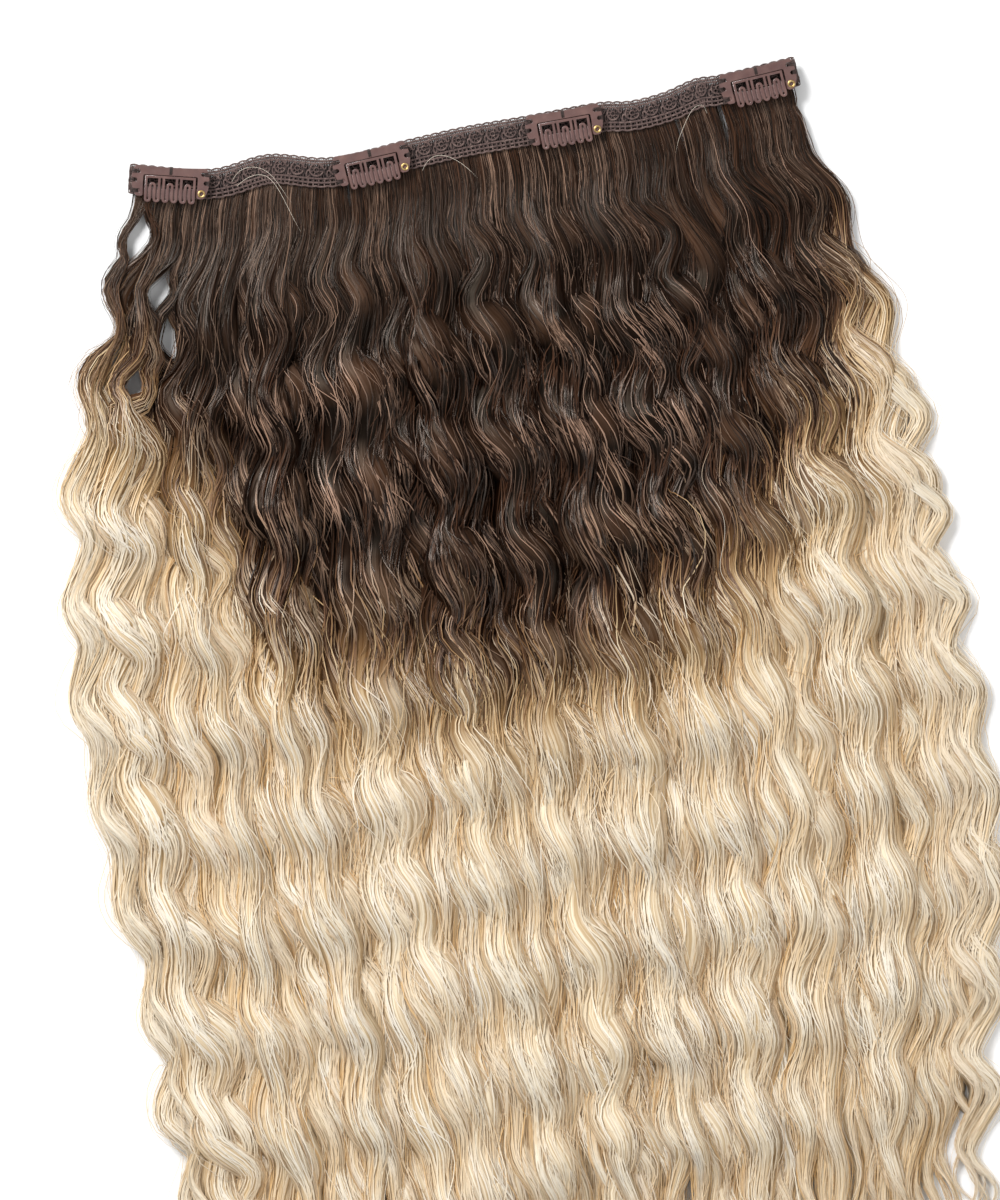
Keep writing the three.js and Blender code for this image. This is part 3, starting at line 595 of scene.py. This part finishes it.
def ribbon_of(points, normal, half):
    """Ribbons along lines of points, square to a normal; half is their half width."""
    along = np.gradient(points, axis=1)
    along /= np.linalg.norm(along, axis=-1, keepdims=True) + 1e-9
    wide = np.cross(along, normal)
    wide /= np.linalg.norm(wide, axis=-1, keepdims=True) + 1e-9
    edge = wide * half[..., None]
    return np.stack([points - edge, points + edge], 2)


def strands(c, clump_length, material):
    """Thin ribbons on the clumps' arched tops; each drifts slowly round its clump."""
    total = CLUMPS * STRANDS_EACH
    which = np.repeat(np.arange(CLUMPS), STRANDS_EACH)
    column = lambda low, high: RNG.uniform(low, high, total)[:, None]
    theta0 = column(-1.35, 1.35)
    period, phase = column(60, 170), column(0, 6.3)
    drift = column(0.05, 0.45)
    leaves = RNG.random(total) < LOOSE_SHARE
    loose = np.where(leaves, RNG.uniform(0.15, 0.7, total), RNG.uniform(0.0, 0.12, total))[:, None]
    rho = column(0.97, 1.05)
    length = clump_length[which] - RNG.exponential(15, total)
    length = np.clip(length, 0.6 * HAIR_LENGTH, HAIR_LENGTH * 0.999)
    share, d, (x, y, width, top, turn, across, rise), level = strand_lines(c, which, length)
    theta = theta0 + drift * np.sin(2 * np.pi * d / period + phase)
    grow = smooth(15, 70, d) * (1 - 0.9 * near_gap(x, y))
    wander = loose * grow * width * 1.4 * np.sin(2 * np.pi * d / (0.7 * period) + 2 * phase)
    frizz = column(0.05, 0.4) * grow * np.sin(2 * np.pi * d / column(13, 21) + 3 * phase)
    root_frizz = column(0.2, 0.9) * smooth(0, 15, d) * smooth(120, 40, d)
    frizz = frizz + root_frizz * np.sin(d / column(5, 9) + 5 * phase)
    _, _, nx, ny = side_ways(x, y)
    out = width * np.sin(theta) * rho + wander + frizz + column(-0.9, 0.9) * smooth(90, 10, d)
    z = top - rise + rise * np.cos(theta) * rho + 0.35 * loose * grow * np.cos(turn + phase)
    z = z + column(-0.35, 0.25) * smooth(0, 12, d) * smooth(110, 50, d)
    points = np.stack([x + nx * out, y + ny * out, np.maximum(z, LOWEST)], -1)
    roll = np.clip(theta, -0.8, 0.8) * smooth(0, 60, d) + RNG.normal(0, 0.18, total)[:, None]
    normal = np.stack([nx * np.sin(roll), ny * np.sin(roll), np.cos(roll)], -1)
    half = column(*STRAND_HALF) * (1 - 0.75 * smooth(0.8, 1.0, share)) * (0.42 + 0.58 * smooth(15, 120, d))
    half = half * np.where(loose > LOOSE_FROM, 0.6, 1.0)
    ribbon = ribbon_of(points, normal, half)
    fade = fade_of(across, d, RNG.normal(0, 12, total)[:, None])
    tone = 0.5 * RNG.normal(0.5, 0.2, CLUMPS)[which] + RNG.uniform(0.0, 0.5, total)
    # Tone: each strand's own random tone, plus painted highlight at the wave crests and painted shade in the
    # troughs, from cos(turn).
    tone = np.clip(tone[:, None] + 0.22 * np.cos(turn) * smooth(30, 80, d), 0, 1)
    shade = np.clip(0.75 * smooth(0.5, 1.25, np.abs(theta)) + 0.4 * smooth(0.98, 0.74, level), 0, 1)
    shade = shade * (1 - 0.7 * smooth(0.88, 0.97, np.abs(across)))
    for n, part in enumerate(np.array_split(np.arange(total), STRAND_MESHES), 1):
        mesh = grid_mesh(f"hair_strands_{n}", ribbon[part], floats={
            "fade": fade[part],
            "tone": tone[part],
            "shade": shade[part],
        })
        new_object(f"hair_strands_{n}", mesh, material)


def flyaways(c, material):
    """Single hairs that leave the locks and curl over them and past the outline."""
    which = np.concatenate([
        RNG.integers(0, CLUMPS, FLYAWAYS - LEFT_HAIRS - RIGHT_HAIRS),
        RNG.integers(0, EDGE_CLUMPS, LEFT_HAIRS),
        RNG.integers(CLUMPS - EDGE_CLUMPS, CLUMPS, RIGHT_HAIRS),
    ])
    column = lambda low, high: RNG.uniform(low, high, FLYAWAYS)[:, None]
    s = np.linspace(0, 1, 60)
    pick = (column(0.02, 0.65) + column(0.14, 0.32) * s) * (len(DOWN) - 1)
    x, y, top, run, across = (between(c[k], which, pick) for k in ("x", "y", "top", "run", "across"))
    at_right = np.where(which >= CLUMPS - EDGE_CLUMPS - 1, 1.0, 0.0)
    outward = np.where(which <= EDGE_CLUMPS, -1.0, at_right)[:, None]
    away = column(-5, 5) * (outward == 0) + column(2, 7) * outward
    bow = np.sin(np.pi * s) ** 1.3 + 0.35 * s * s
    x = x + away * bow + column(0.3, 1.4) * np.sin(2 * np.pi * s * column(1.5, 4) + column(0, 6.3))
    z = top + 0.3 + column(0.2, 2.2) * bow * (outward == 0) - 0.3 * top * bow * (outward != 0)
    points = np.stack([x, y, z], -1)
    up = np.broadcast_to(UP, points.shape)
    half = column(*FLYAWAY_HALF) * (1 - 0.8 * smooth(0.85, 1, s)) * (0.3 + 0.7 * smooth(0, 0.06, s))
    fade = fade_of(across, run, RNG.normal(0, 10, FLYAWAYS)[:, None])
    tone = np.broadcast_to(column(0.4, 1.0), fade.shape)
    mesh = grid_mesh("hair_flyaways", ribbon_of(points, up, half),
                     floats={"fade": fade, "tone": tone, "shade": 0 * fade})
    new_object("hair_flyaways", mesh, material)


# Stray hairs over the band: where each starts, bends and ends, along the band and down from its edge
STRAYS = np.array([
    (-85, 6, -78, -3, -60, 17), (-84, 8, -70, 1, -56, 27), (-18, 12, -11, 2, 1, 19), (86, 13, 77, 3, 69, 22),
])


def strays(material):
    t = np.linspace(0, 1, 40)[None, :]
    s, depth = (STRAYS[:, k, None] * (1 - t) ** 2 + 2 * STRAYS[:, k + 2, None] * t * (1 - t)
                + STRAYS[:, k + 4, None] * t * t for k in (0, 1))
    x, y = on_band(s, depth)
    z = 5.2 + 2.6 * np.sin(np.pi * t) ** 0.7 + 3.0 * t + 0 * x
    points = np.stack([x, y, z], -1)
    up = np.broadcast_to(UP, points.shape)
    half = np.broadcast_to(STRAY_HALF * (1 - 0.8 * smooth(0.85, 1, t)), x.shape)
    level = np.ones_like(x)
    mesh = grid_mesh("hair_strays", ribbon_of(points, up, half),
                     floats={"fade": 0.9 * level, "tone": 0.9 * level, "shade": 0 * level})
    new_object("hair_strays", mesh, material)


# Threads; each closes at its ends to this share of its width
THREAD_END = 0.08


def threads(name, groups, put=place):
    """Round threads with closed ends; a group is (paths, half width, half height, sides, level)."""
    made = []
    for paths, wide, high, sides, level in groups:
        paths = np.asarray(paths, float)
        along = np.gradient(paths, axis=1)
        along /= np.linalg.norm(along, axis=-1, keepdims=True) + 1e-9
        side = np.cross(np.broadcast_to(level, along.shape), along)
        side /= np.linalg.norm(side, axis=-1, keepdims=True) + 1e-9
        up = np.cross(along, side)
        size = np.ones(paths.shape[1])
        size[[0, -1]] = THREAD_END
        turn = 2 * np.pi * (np.arange(sides) + 0.5) / sides
        section = side[:, :, None] * (wide * np.cos(turn))[:, None]
        section = section + up[:, :, None] * (high * np.sin(turn))[:, None]
        points = paths[:, :, None] + section * size[:, None, None]
        made.append(grid_mesh(name, points, closed=True, uv=False, put=put))
    if len(made) == 1:
        return made[0]
    joined = bmesh.new()
    for mesh in made:
        joined.from_mesh(mesh)
        bpy.data.meshes.remove(mesh)
    whole = bpy.data.meshes.new(name)
    joined.to_mesh(whole)
    joined.free()
    return whole


# The lace: cords, ladders, rosettes and a fine net, laid along the band
LACE_REPEATS = 38
LACE_CELL = BAND_LENGTH / LACE_REPEATS
LACE_MIDDLE = (LACE_BOTTOM + LACE_TOP) / 2
# shares of the band's width: the straight cords and the rosettes' middles
CORD_1, CORD_2, CORD_3, CORD_4, ROSETTE_MIDDLE = 0.11, 0.2, 0.71, 0.845, 0.415


def on_lace(s, v, lift=0.0):
    """Points of the lace: s along the band from its middle, v down it as a share of its width."""
    s, v, lift = np.broadcast_arrays(np.clip(s, -BAND_LENGTH / 2, BAND_LENGTH / 2), v, lift)
    x, y = on_band(s, v * BAND_WIDTH)
    return np.stack([x, y, LACE_MIDDLE + lift], -1)


def lace_cords():
    """The long cords; the upper and the lower one are scalloped."""
    s = np.linspace(-BAND_LENGTH / 2, BAND_LENGTH / 2, LACE_REPEATS * 10 + 1)
    fine = np.linspace(-BAND_LENGTH / 2, BAND_LENGTH / 2, LACE_REPEATS * 16 + 1)
    arch = np.abs(np.sin(2 * np.pi * fine / LACE_CELL))
    weave = 0.12 * np.sin(8 * np.pi * s / LACE_CELL)
    straight = ((CORD_1, -1), (CORD_2, 1), (CORD_3, -1), (CORD_4, 1))
    return [
        (on_lace(fine, 0.05 - 0.04 * arch, 0.1)[None], 0.4, 0.22, 4, UP),
        (np.stack([on_lace(s, v, weave * k) for v, k in straight]), 0.46, 0.26, 4, UP),
        (on_lace(fine, 0.955 + 0.03 * arch, 0.1)[None], 0.42, 0.24, 4, UP),
    ]


def cell_starts():
    return -BAND_LENGTH / 2 + LACE_CELL * np.arange(LACE_REPEATS)


def lace_ladders():
    """Short bars between the cords, four to a repeat."""
    bars = []
    t = np.linspace(0, 1, 3)
    for start in cell_starts():
        for k in range(4):
            s = start + LACE_CELL * (k + 0.5) / 4
            for low, high, lean in ((0.02, CORD_2, 0.3), (CORD_3, CORD_4, 0.25), (CORD_4, 0.97, -0.2)):
                bars.append(on_lace(s + lean * (t - 0.5), low + (high - low) * t, 0.14 * np.sin(np.pi * t)))
    return [(bars, 0.4, 0.2, 4, UP)]


def ring(s, v, across, down, steps, lift=0.08):
    t = np.linspace(0, 2 * np.pi, steps + 1)
    return on_lace(s + across * np.cos(t), v + down * np.sin(t) / BAND_WIDTH, lift)


def lace_motifs():
    """A rosette in each repeat, with leaves between two rosettes, on a fine net."""
    outer, inner, leaves, spokes, net, edge_net = [], [], [], [], [], []
    for start in cell_starts():
        s = start + LACE_CELL / 2
        outer.append(ring(s, ROSETTE_MIDDLE, 2.15, 2.2, 14))
        inner.append(ring(s, ROSETTE_MIDDLE, 0.85, 0.85, 8, 0.16))
        for side in (-1, 1):
            leaves.append(ring(s + side * 2.55, ROSETTE_MIDDLE - side * 0.14, 0.55, 1.25, 8, 0.12))
        for k in range(8):
            turn = 2 * np.pi * (k + 0.5) / 8
            reach = np.array([0.8, 1.5, 2.2])
            depth = ROSETTE_MIDDLE + reach * math.sin(turn) / BAND_WIDTH
            spokes.append(on_lace(s + reach * math.cos(turn), depth, 0.05))
        t = np.linspace(0, 1, 5)
        for k in range(8):
            at = start + LACE_CELL * (k + 0.3) / 8
            for lean in (-1, 1):
                net.append(on_lace(at + lean * 2.6 * (t - 0.5), 0.03 + 0.93 * t, -0.2 + 0.04 * lean))
                for half in (0, 0.5):
                    mesh_at = start + LACE_CELL * (k + half) / 8 + lean * 0.7 * (t[::2] - 0.5)
                    edge_net.append(on_lace(mesh_at, 0.04 + 0.26 * t[::2], -0.3 + 0.03 * lean))
    return [
        (outer, 0.42, 0.24, 4, UP), (inner, 0.34, 0.2, 4, UP), (leaves, 0.36, 0.2, 4, UP),
        (spokes, 0.28, 0.16, 4, UP), (net, 0.25, 0.1, 4, UP), (edge_net, 0.17, 0.08, 4, UP),
    ]


def lace_hems():
    """The turned and overstitched ends of the band."""
    bars = []
    t = np.linspace(0, 1, 9)
    for side in (-1, 1):
        for k in range(4):
            s = side * (BAND_LENGTH / 2 - 0.2 - 0.45 * k)
            bars.append(on_lace(s, 0.01 + 0.97 * t, 0.2 * np.sin(9 * t + k)))
    return [(bars, 0.25, 0.2, 5, UP)]


def lace(material):
    mesh = threads("lace_threads", lace_cords() + lace_ladders() + lace_motifs() + lace_hems())
    return new_object("lace_threads", mesh, material, replaces=("lace_band",))


def track(fabric, thread):
    """The sewn track under the lace: three rolled rows, each with a zigzag of thread above and below."""
    half = BAND_LENGTH / 2 - TRACK_INSET
    s = np.linspace(-half, half, 120)
    rows, stitches = [], []
    middles = BAND_WIDTH - TRACK_INSET - TRACK_WIDTH * (np.arange(3) + 0.5) / 3
    turn = 2 * np.pi * np.arange(10) / 10
    for depth in middles:
        wide, high = TRACK_WIDTH / 6 * 1.08, TRACK_TOP / 2 - 0.1
        ring_depth = depth + wide * np.cos(turn)[None, :]
        x, y = on_band(s[:, None] + 0 * ring_depth, ring_depth + 0 * s[:, None])
        z = TRACK_TOP / 2 + high * np.sin(turn)[None, :] + 0 * s[:, None]
        rows.append(np.stack([x, y, z], -1))
        zig = np.linspace(-half, half, 300)
        for level in (TRACK_TOP + 0.04, 0.08):
            x, y = on_band(zig, depth + 0.75 * (1 - 2 * (np.arange(300) % 2)))
            stitches.append(np.stack([x, y, np.full(300, level)], -1))
    mesh = grid_mesh("track_rows", np.array(rows), closed=True)
    new_object("track_rows", mesh, fabric)
    new_object("track_stitches", threads("track_stitches", [(stitches, 0.13, 0.08, 4, UP)]), thread)


# The snap clips, made in a clip's own millimetres and then placed on the band

def clip_matrix(number):
    reach = BAND_LENGTH / 2 - CLIP_END_MARGIN - CLIP_HALF
    x = reach * (2 * (number - 1) / (CLIP_COUNT - 1) - 1)
    left, right = (np.array(on_band(x + side * CLIP_HALF, 0.0)) for side in (-1, 1))
    angle = math.atan2(right[1] - left[1], right[0] - left[0])
    depth = CLIP_EDGE_INSET + CLIP_TOP
    middle = (left + right) / 2 + depth * np.array([math.sin(angle), -math.cos(angle)])
    at = Vector(place([*middle, CLIP_BASE]))
    return Matrix.Translation(at) @ Matrix.Rotation(angle, 4, "Z") @ Matrix.Scale(MM, 4)


def bend(start, control, end, steps=7):
    """Points on a quadratic curve, without its last one."""
    t = np.linspace(0, 1, steps + 1)[:-1, None]
    start, control, end = (np.array(v, float) for v in (start, control, end))
    return list((1 - t) ** 2 * start + 2 * t * (1 - t) * control + t * t * end)


def arc(x, y, radius, start, end, steps):
    t = np.radians(np.linspace(start, end, steps + 1))
    return list(np.stack([x + radius * np.cos(t), y + radius * np.sin(t)], -1))


def rounded(points, radius):
    """A closed outline with its sharp corners rounded."""
    points = [np.array(p, float) for p in points]
    out = []
    for i, p in enumerate(points):
        before, after = points[i - 1] - p, points[(i + 1) % len(points)] - p
        a, b = before / np.linalg.norm(before), after / np.linalg.norm(after)
        if np.dot(a, b) < -0.9:
            out.append(p)
            continue
        r = min(radius, 0.45 * np.linalg.norm(before), 0.45 * np.linalg.norm(after))
        out.extend(bend(p + a * r, p, p + b * r, 5) + [p + b * r])
    return out


def plate_mesh(name, outline, holes, bottom, thickness, bevel):
    """A flat plate with rounded edges."""
    curve = bpy.data.curves.new(name, "CURVE")
    curve.dimensions = "2D"
    curve.fill_mode = "BOTH"
    curve.extrude = thickness / 2 - bevel
    curve.bevel_depth = bevel
    curve.bevel_resolution = 2
    curve.offset = -bevel
    for loop in [outline, *holes]:
        spline = curve.splines.new("POLY")
        spline.points.add(len(loop) - 1)
        spline.points.foreach_set("co", [v for x, y in loop for v in (x, y, 0, 1)])
        spline.use_cyclic_u = True
    holder = bpy.data.objects.new(name, curve)
    mesh = bpy.data.meshes.new_from_object(holder)
    bpy.data.objects.remove(holder)
    bpy.data.curves.remove(curve)
    work = bmesh.new()
    work.from_mesh(mesh)
    bmesh.ops.remove_doubles(work, verts=work.verts, dist=0.002)
    bmesh.ops.recalc_face_normals(work, faces=work.faces)
    for face in work.faces:
        face.smooth = abs(face.normal.z) < 0.999
    bmesh.ops.translate(work, verts=work.verts, vec=(0, 0, bottom + thickness / 2))
    work.to_mesh(mesh)
    work.free()
    return mesh


def face_mesh(name):
    """The frame's face: a band with a lug at each end, and its sewing and rivet holes."""
    corner, bulge = CLIP_HALF - LUG_TAPER, CLIP_HALF + LUG_TAPER
    middle, foot = (CLIP_TOP + LUG_FOOT) / 2, CLIP_HALF - 1.5 * LUG_TAPER
    root = ROOT_HEIGHT + COMB_CLEARANCE
    outline = bend((corner, CLIP_TOP), (0, CLIP_TOP - 2 * TOP_DIP), (-corner, CLIP_TOP), 12)
    outline += bend((-corner, CLIP_TOP), (-bulge, middle), (-foot, LUG_FOOT))
    outline += [(-foot, LUG_FOOT), (-WINDOW_HALF, LUG_FOOT), (-WINDOW_HALF, root), (WINDOW_HALF, root),
                (WINDOW_HALF, LUG_FOOT)]
    outline += bend((foot, LUG_FOOT), (bulge, middle), (corner, CLIP_TOP))
    holes = [arc(side * (WINDOW_HALF + across * LUG_WIDTH), y, HOLE_RADIUS, 0, 337.5, 15)
             for side in (-1, 1) for across, y in SEWING_HOLES]
    holes.append(arc(-RIVET_X, RIVET_HEIGHT, HOLE_RADIUS, 0, 337.5, 15))
    holes.append(arc(RIVET_X, RIVET_HEIGHT, EYELET_BORE + EYELET_WALL + 0.02, 0, 345, 23))
    return plate_mesh(name, rounded(outline, 0.7), holes, PLATE_BOTTOM, SHEET, 0.14)


def comb_mesh(name):
    """Hairpin teeth in groups of two, joined by an arch, on a root strip."""
    half = LEG_WIDTH / 2
    outer, inner = LEG_PITCH / 2 + half, LEG_PITCH / 2 - half
    foot = ROOT_HEIGHT - COMB_ROOT
    tip, arch = TOOTH_TIP + outer, ARCH_TOP - outer
    edge = [(-COMB_HALF, ROOT_HEIGHT)]
    windows = []
    for g in range(TOOTH_GROUPS):
        x = (4 * g - 2 * (TOOTH_GROUPS - 1)) * LEG_PITCH
        left, right = x - LEG_PITCH, x + LEG_PITCH
        edge += arc(left, tip, outer, 180, 360, 10) + arc(x, arch, inner, 180, 0, 6)
        edge += arc(right, tip, outer, 180, 360, 10)
        if g < TOOTH_GROUPS - 1:
            edge += arc(x + 2 * LEG_PITCH, foot - inner, inner, 180, 0, 6)
        window = [(left - inner, foot - WINDOW_INSET)] + arc(left, tip, inner, 180, 360, 6)
        window += arc(x, arch, outer, 180, 0, 10) + arc(right, tip, inner, 180, 360, 6)
        windows.append(window + [(right + inner, foot - WINDOW_INSET)])
    edge.append((COMB_HALF, ROOT_HEIGHT))
    return plate_mesh(name, edge, windows, PLATE_TOP - SHEET, SHEET, 0.2)


def bar_middle(x):
    share = np.minimum(np.abs(x) / WINDOW_HALF, 1)
    return RIVET_HEIGHT - BAR_BOW * (1 - share * share)


def tube_mesh(name, x, low, high, half, sides, power):
    """A bar or sleeve along the bar's line, with a rounded section and closed ends."""
    turn = 2 * np.pi * (np.arange(sides) + 0.5) / sides
    cos, sin = (np.sign(f) * np.abs(f) ** power for f in (np.cos(turn), np.sin(turn)))
    size = np.clip(np.minimum(x - x[0], x[-1] - x) / 0.35, 0, 1)
    size = np.maximum(np.sqrt(1 - (1 - size) ** 2), 0.02)[:, None]
    y = bar_middle(x)[:, None] + half * cos * size
    z = ((low + high) / 2)[:, None] + ((high - low) / 2)[:, None] * sin * size
    points = np.stack([np.broadcast_to(x[:, None], y.shape), y, z], -1)[None]
    return grid_mesh(name, points, closed=True, put=as_is, flip=True)


def bar_mesh(name):
    end = RIVET_X + EYELET_FLANGE - EYELET_LIP
    flat = np.linspace(-WINDOW_HALF + BAR_RISE, WINDOW_HALF - BAR_RISE, 25)
    ramp = np.linspace(0, BAR_RISE, 7)[1:]
    reach, close = end - WINDOW_HALF, 0.35
    outer = np.concatenate([np.linspace(0.3, reach - close, 4), reach - close * (1 - ramp / BAR_RISE)])
    x = np.concatenate([flat[-1] + ramp, WINDOW_HALF + outer])
    x = np.concatenate([-x[::-1], flat, x])
    seat = PLATE_BOTTOM - BAR_THICKNESS / 2
    low = BAR_BOTTOM + (seat - BAR_BOTTOM) * smooth(WINDOW_HALF - BAR_RISE, WINDOW_HALF, np.abs(x))
    return tube_mesh(name, x, low, low + BAR_THICKNESS, BAR_WIDTH / 2, 12, 0.35)


def sleeve_mesh(name):
    half = WINDOW_HALF - BAR_RISE - SLEEVE_INSET
    x = half * np.sin(np.linspace(-np.pi / 2, np.pi / 2, 33))
    low = np.zeros_like(x)
    return tube_mesh(name, x, low, low + SLEEVE_HEIGHT, SLEEVE_HALF, 20, 0.62)


def eyelet_mesh(name):
    """A brass ring rolled over on both faces."""
    barrel = EYELET_BORE + EYELET_WALL
    foot, head = PLATE_BOTTOM - BAR_THICKNESS / 2 - EYELET_LIP, PLATE_TOP + EYELET_LIP
    middle, reach = (EYELET_BORE + EYELET_FLANGE) / 2, (EYELET_FLANGE - EYELET_BORE) / 2
    t = np.radians(np.linspace(180, 0, 9))
    top = np.stack([middle + reach * np.cos(t), head - EYELET_LIP + EYELET_LIP * np.sin(t)], -1)
    under = np.stack([top[::-1, 0], foot + EYELET_LIP - EYELET_LIP * np.sin(t[::-1])], -1)
    wall = np.array([(barrel, head - EYELET_LIP), (barrel, foot + EYELET_LIP)])
    profile = np.concatenate([top, wall, under])
    turn = 2 * np.pi * np.arange(41) / 40
    points = np.stack([
        RIVET_X + profile[None, :, 0] * np.cos(turn)[:, None],
        RIVET_HEIGHT + profile[None, :, 0] * np.sin(turn)[:, None],
        np.broadcast_to(profile[None, :, 1], (41, len(profile))),
    ], -1)[None]
    return grid_mesh(name, points, closed=True, put=as_is)


def loop_over(start, end, foot, head, steps=14):
    """A thread's way up at one point, over the plate and down at another, with rounded corners."""
    t = np.linspace(0, np.pi, steps)
    cos, sin = (np.sign(f) * np.abs(f) ** 0.45 for f in (np.cos(t), np.sin(t)))
    start, end = np.array(start, float), np.array(end, float)
    flat = (start + end) / 2 + (start - end) / 2 * cos[:, None]
    return np.column_stack([flat, foot + (head - foot) * sin])


def clip_stitches(name, number):
    """Threads that hold the clip: over its band in the middle, and from each hole over its end."""
    rng = np.random.default_rng(700 + number)
    groups = []
    foot, head = -0.35, PLATE_TOP + 0.16
    wraps = []
    for k in (-1, 0, 1):
        start = (0.36 * k + rng.uniform(-0.06, 0.06), CLIP_TOP - 0.1)
        wraps.append(loop_over(start, (0.34 * k, ROOT_HEIGHT + 0.1), foot, head))
    groups.append((wraps, 0.1, 0.17, 6, np.array([1.0, 0.0, 0.0])))
    ends = []
    for side in (-1, 1):
        holes = SEWING_HOLES + ([(RIVET_ACROSS, RIVET_HEIGHT)] if side < 0 else [])
        for across, y in holes:
            x = side * (WINDOW_HALF + across * LUG_WIDTH)
            inset = 0.55 + 0.035 * (y - 0.4) ** 2
            for k in (-1.5, -0.5, 0.5, 1.5):
                fan = 0.36 * k + rng.uniform(-0.1, 0.1)
                beyond = (side * (CLIP_HALF - inset + 0.75), y + fan * 1.5)
                ends.append(loop_over((x, y + 0.28 * k), beyond, foot, head))
    groups.append((ends, 0.15, 0.12, 6, np.array([0.0, 1.0, 0.0])))
    return threads(name, groups, put=as_is)


def clips(paint, soft, brass, thread):
    for number in range(1, CLIP_COUNT + 1):
        at = clip_matrix(number)
        clip = f"clip_{number}"
        pieces = [
            ("face", face_mesh, paint, "clip_paint", "weft", "frame"),
            ("bar", bar_mesh, paint, "clip_paint", "weft", None),
            ("teeth", comb_mesh, paint, "clip_paint", f"comb_{number}", "comb"),
            ("soft_sleeve", sleeve_mesh, soft, "sleeve", "weft", "sleeve"),
            ("ring", eyelet_mesh, brass, "brass", "weft", "eyelet"),
        ]
        for part, make, material, slot, body, node in pieces:
            mesh = make(f"{clip}_{part}")
            mesh.transform(at)
            new_object(f"{clip}_{part}", mesh, material, body, (f"{clip}_{node}",) if node else ())
        mesh = clip_stitches(f"{clip}_stitches", number)
        mesh.transform(at)
        new_object(f"{clip}_stitches", mesh, thread)


HAIR, CORE, THREAD = strand_material(), core_material(), thread_material()
LINES, CLUMP_LENGTH = clump_lines()
cores(LINES, CORE)
strands(LINES, CLUMP_LENGTH, HAIR)
flyaways(LINES, HAIR)
strays(HAIR)
lace(lace_material())
track(track_material(), THREAD)
clips(paint_material(), sleeve_material(), brass_material(), THREAD)


# The floor, light and camera; the photograph's middle is in the band's millimetres
PHOTO_MIDDLE, PHOTO_TURN, PHOTO_ACROSS = (-13.5, -173.1, 8.0), -8.9, 0.3546
CAMERA_HEIGHT, SENSOR = 2.2, 36


def floor():
    mesh = bpy.data.meshes.new("floor")
    s, z = 3.0, -0.0004
    mesh.from_pydata([(-s, -s, z), (s, -s, z), (s, s, z), (-s, s, z)], [], [(0, 1, 2, 3)])
    n = Nodes("floor")
    tint = n.ramp(n.noise(3.0), [(0.3, (0.9, 0.9, 0.9, 1)), (0.7, (0.92, 0.92, 0.92, 1))])
    mesh.materials.append(n.set(Base_Color=tint, Roughness=0.9, Specular_IOR_Level=0.1))
    obj = bpy.data.objects.new("floor", mesh)
    bpy.context.collection.objects.link(obj)


def lamp(name, at, to, size, power):
    data = bpy.data.lights.new(name, "AREA")
    data.shape = "RECTANGLE"
    data.size, data.size_y = size
    data.energy = power
    obj = bpy.data.objects.new(name, data)
    obj.location = at
    obj.rotation_euler = (Vector(to) - Vector(at)).to_track_quat("-Z", "Y").to_euler()
    bpy.context.collection.objects.link(obj)


def lights():
    world = bpy.data.worlds.new("studio")
    world.use_nodes = True
    world.node_tree.nodes["Background"].inputs["Color"].default_value = (1.0, 1.0, 1.0, 1)
    world.node_tree.nodes["Background"].inputs["Strength"].default_value = 0.5
    bpy.context.scene.world = world
    lamp("key", (-0.9, 1.43, 1.58), (0, 0, 0), (0.75, 0.75), 61)
    lamp("fill", (1.0, -0.7, 1.2), (0, 0, 0), (1.0, 1.0), 9)


def camera():
    """Straight above the weft, turned as in the photograph, which shows 354.6 mm across."""
    data = bpy.data.cameras.new("camera")
    data.sensor_fit = "HORIZONTAL"
    data.sensor_width = SENSOR
    data.lens = SENSOR * CAMERA_HEIGHT / PHOTO_ACROSS
    data.clip_end = 20
    obj = bpy.data.objects.new("camera", data)
    middle = place(PHOTO_MIDDLE)
    obj.location = (middle[0], middle[1], CAMERA_HEIGHT)
    obj.rotation_euler = Euler((0, 0, math.radians(PHOTO_TURN)))
    bpy.context.collection.objects.link(obj)
    bpy.context.scene.camera = obj


floor()
lights()
camera()
bpy.context.scene.view_settings.view_transform = "Standard"
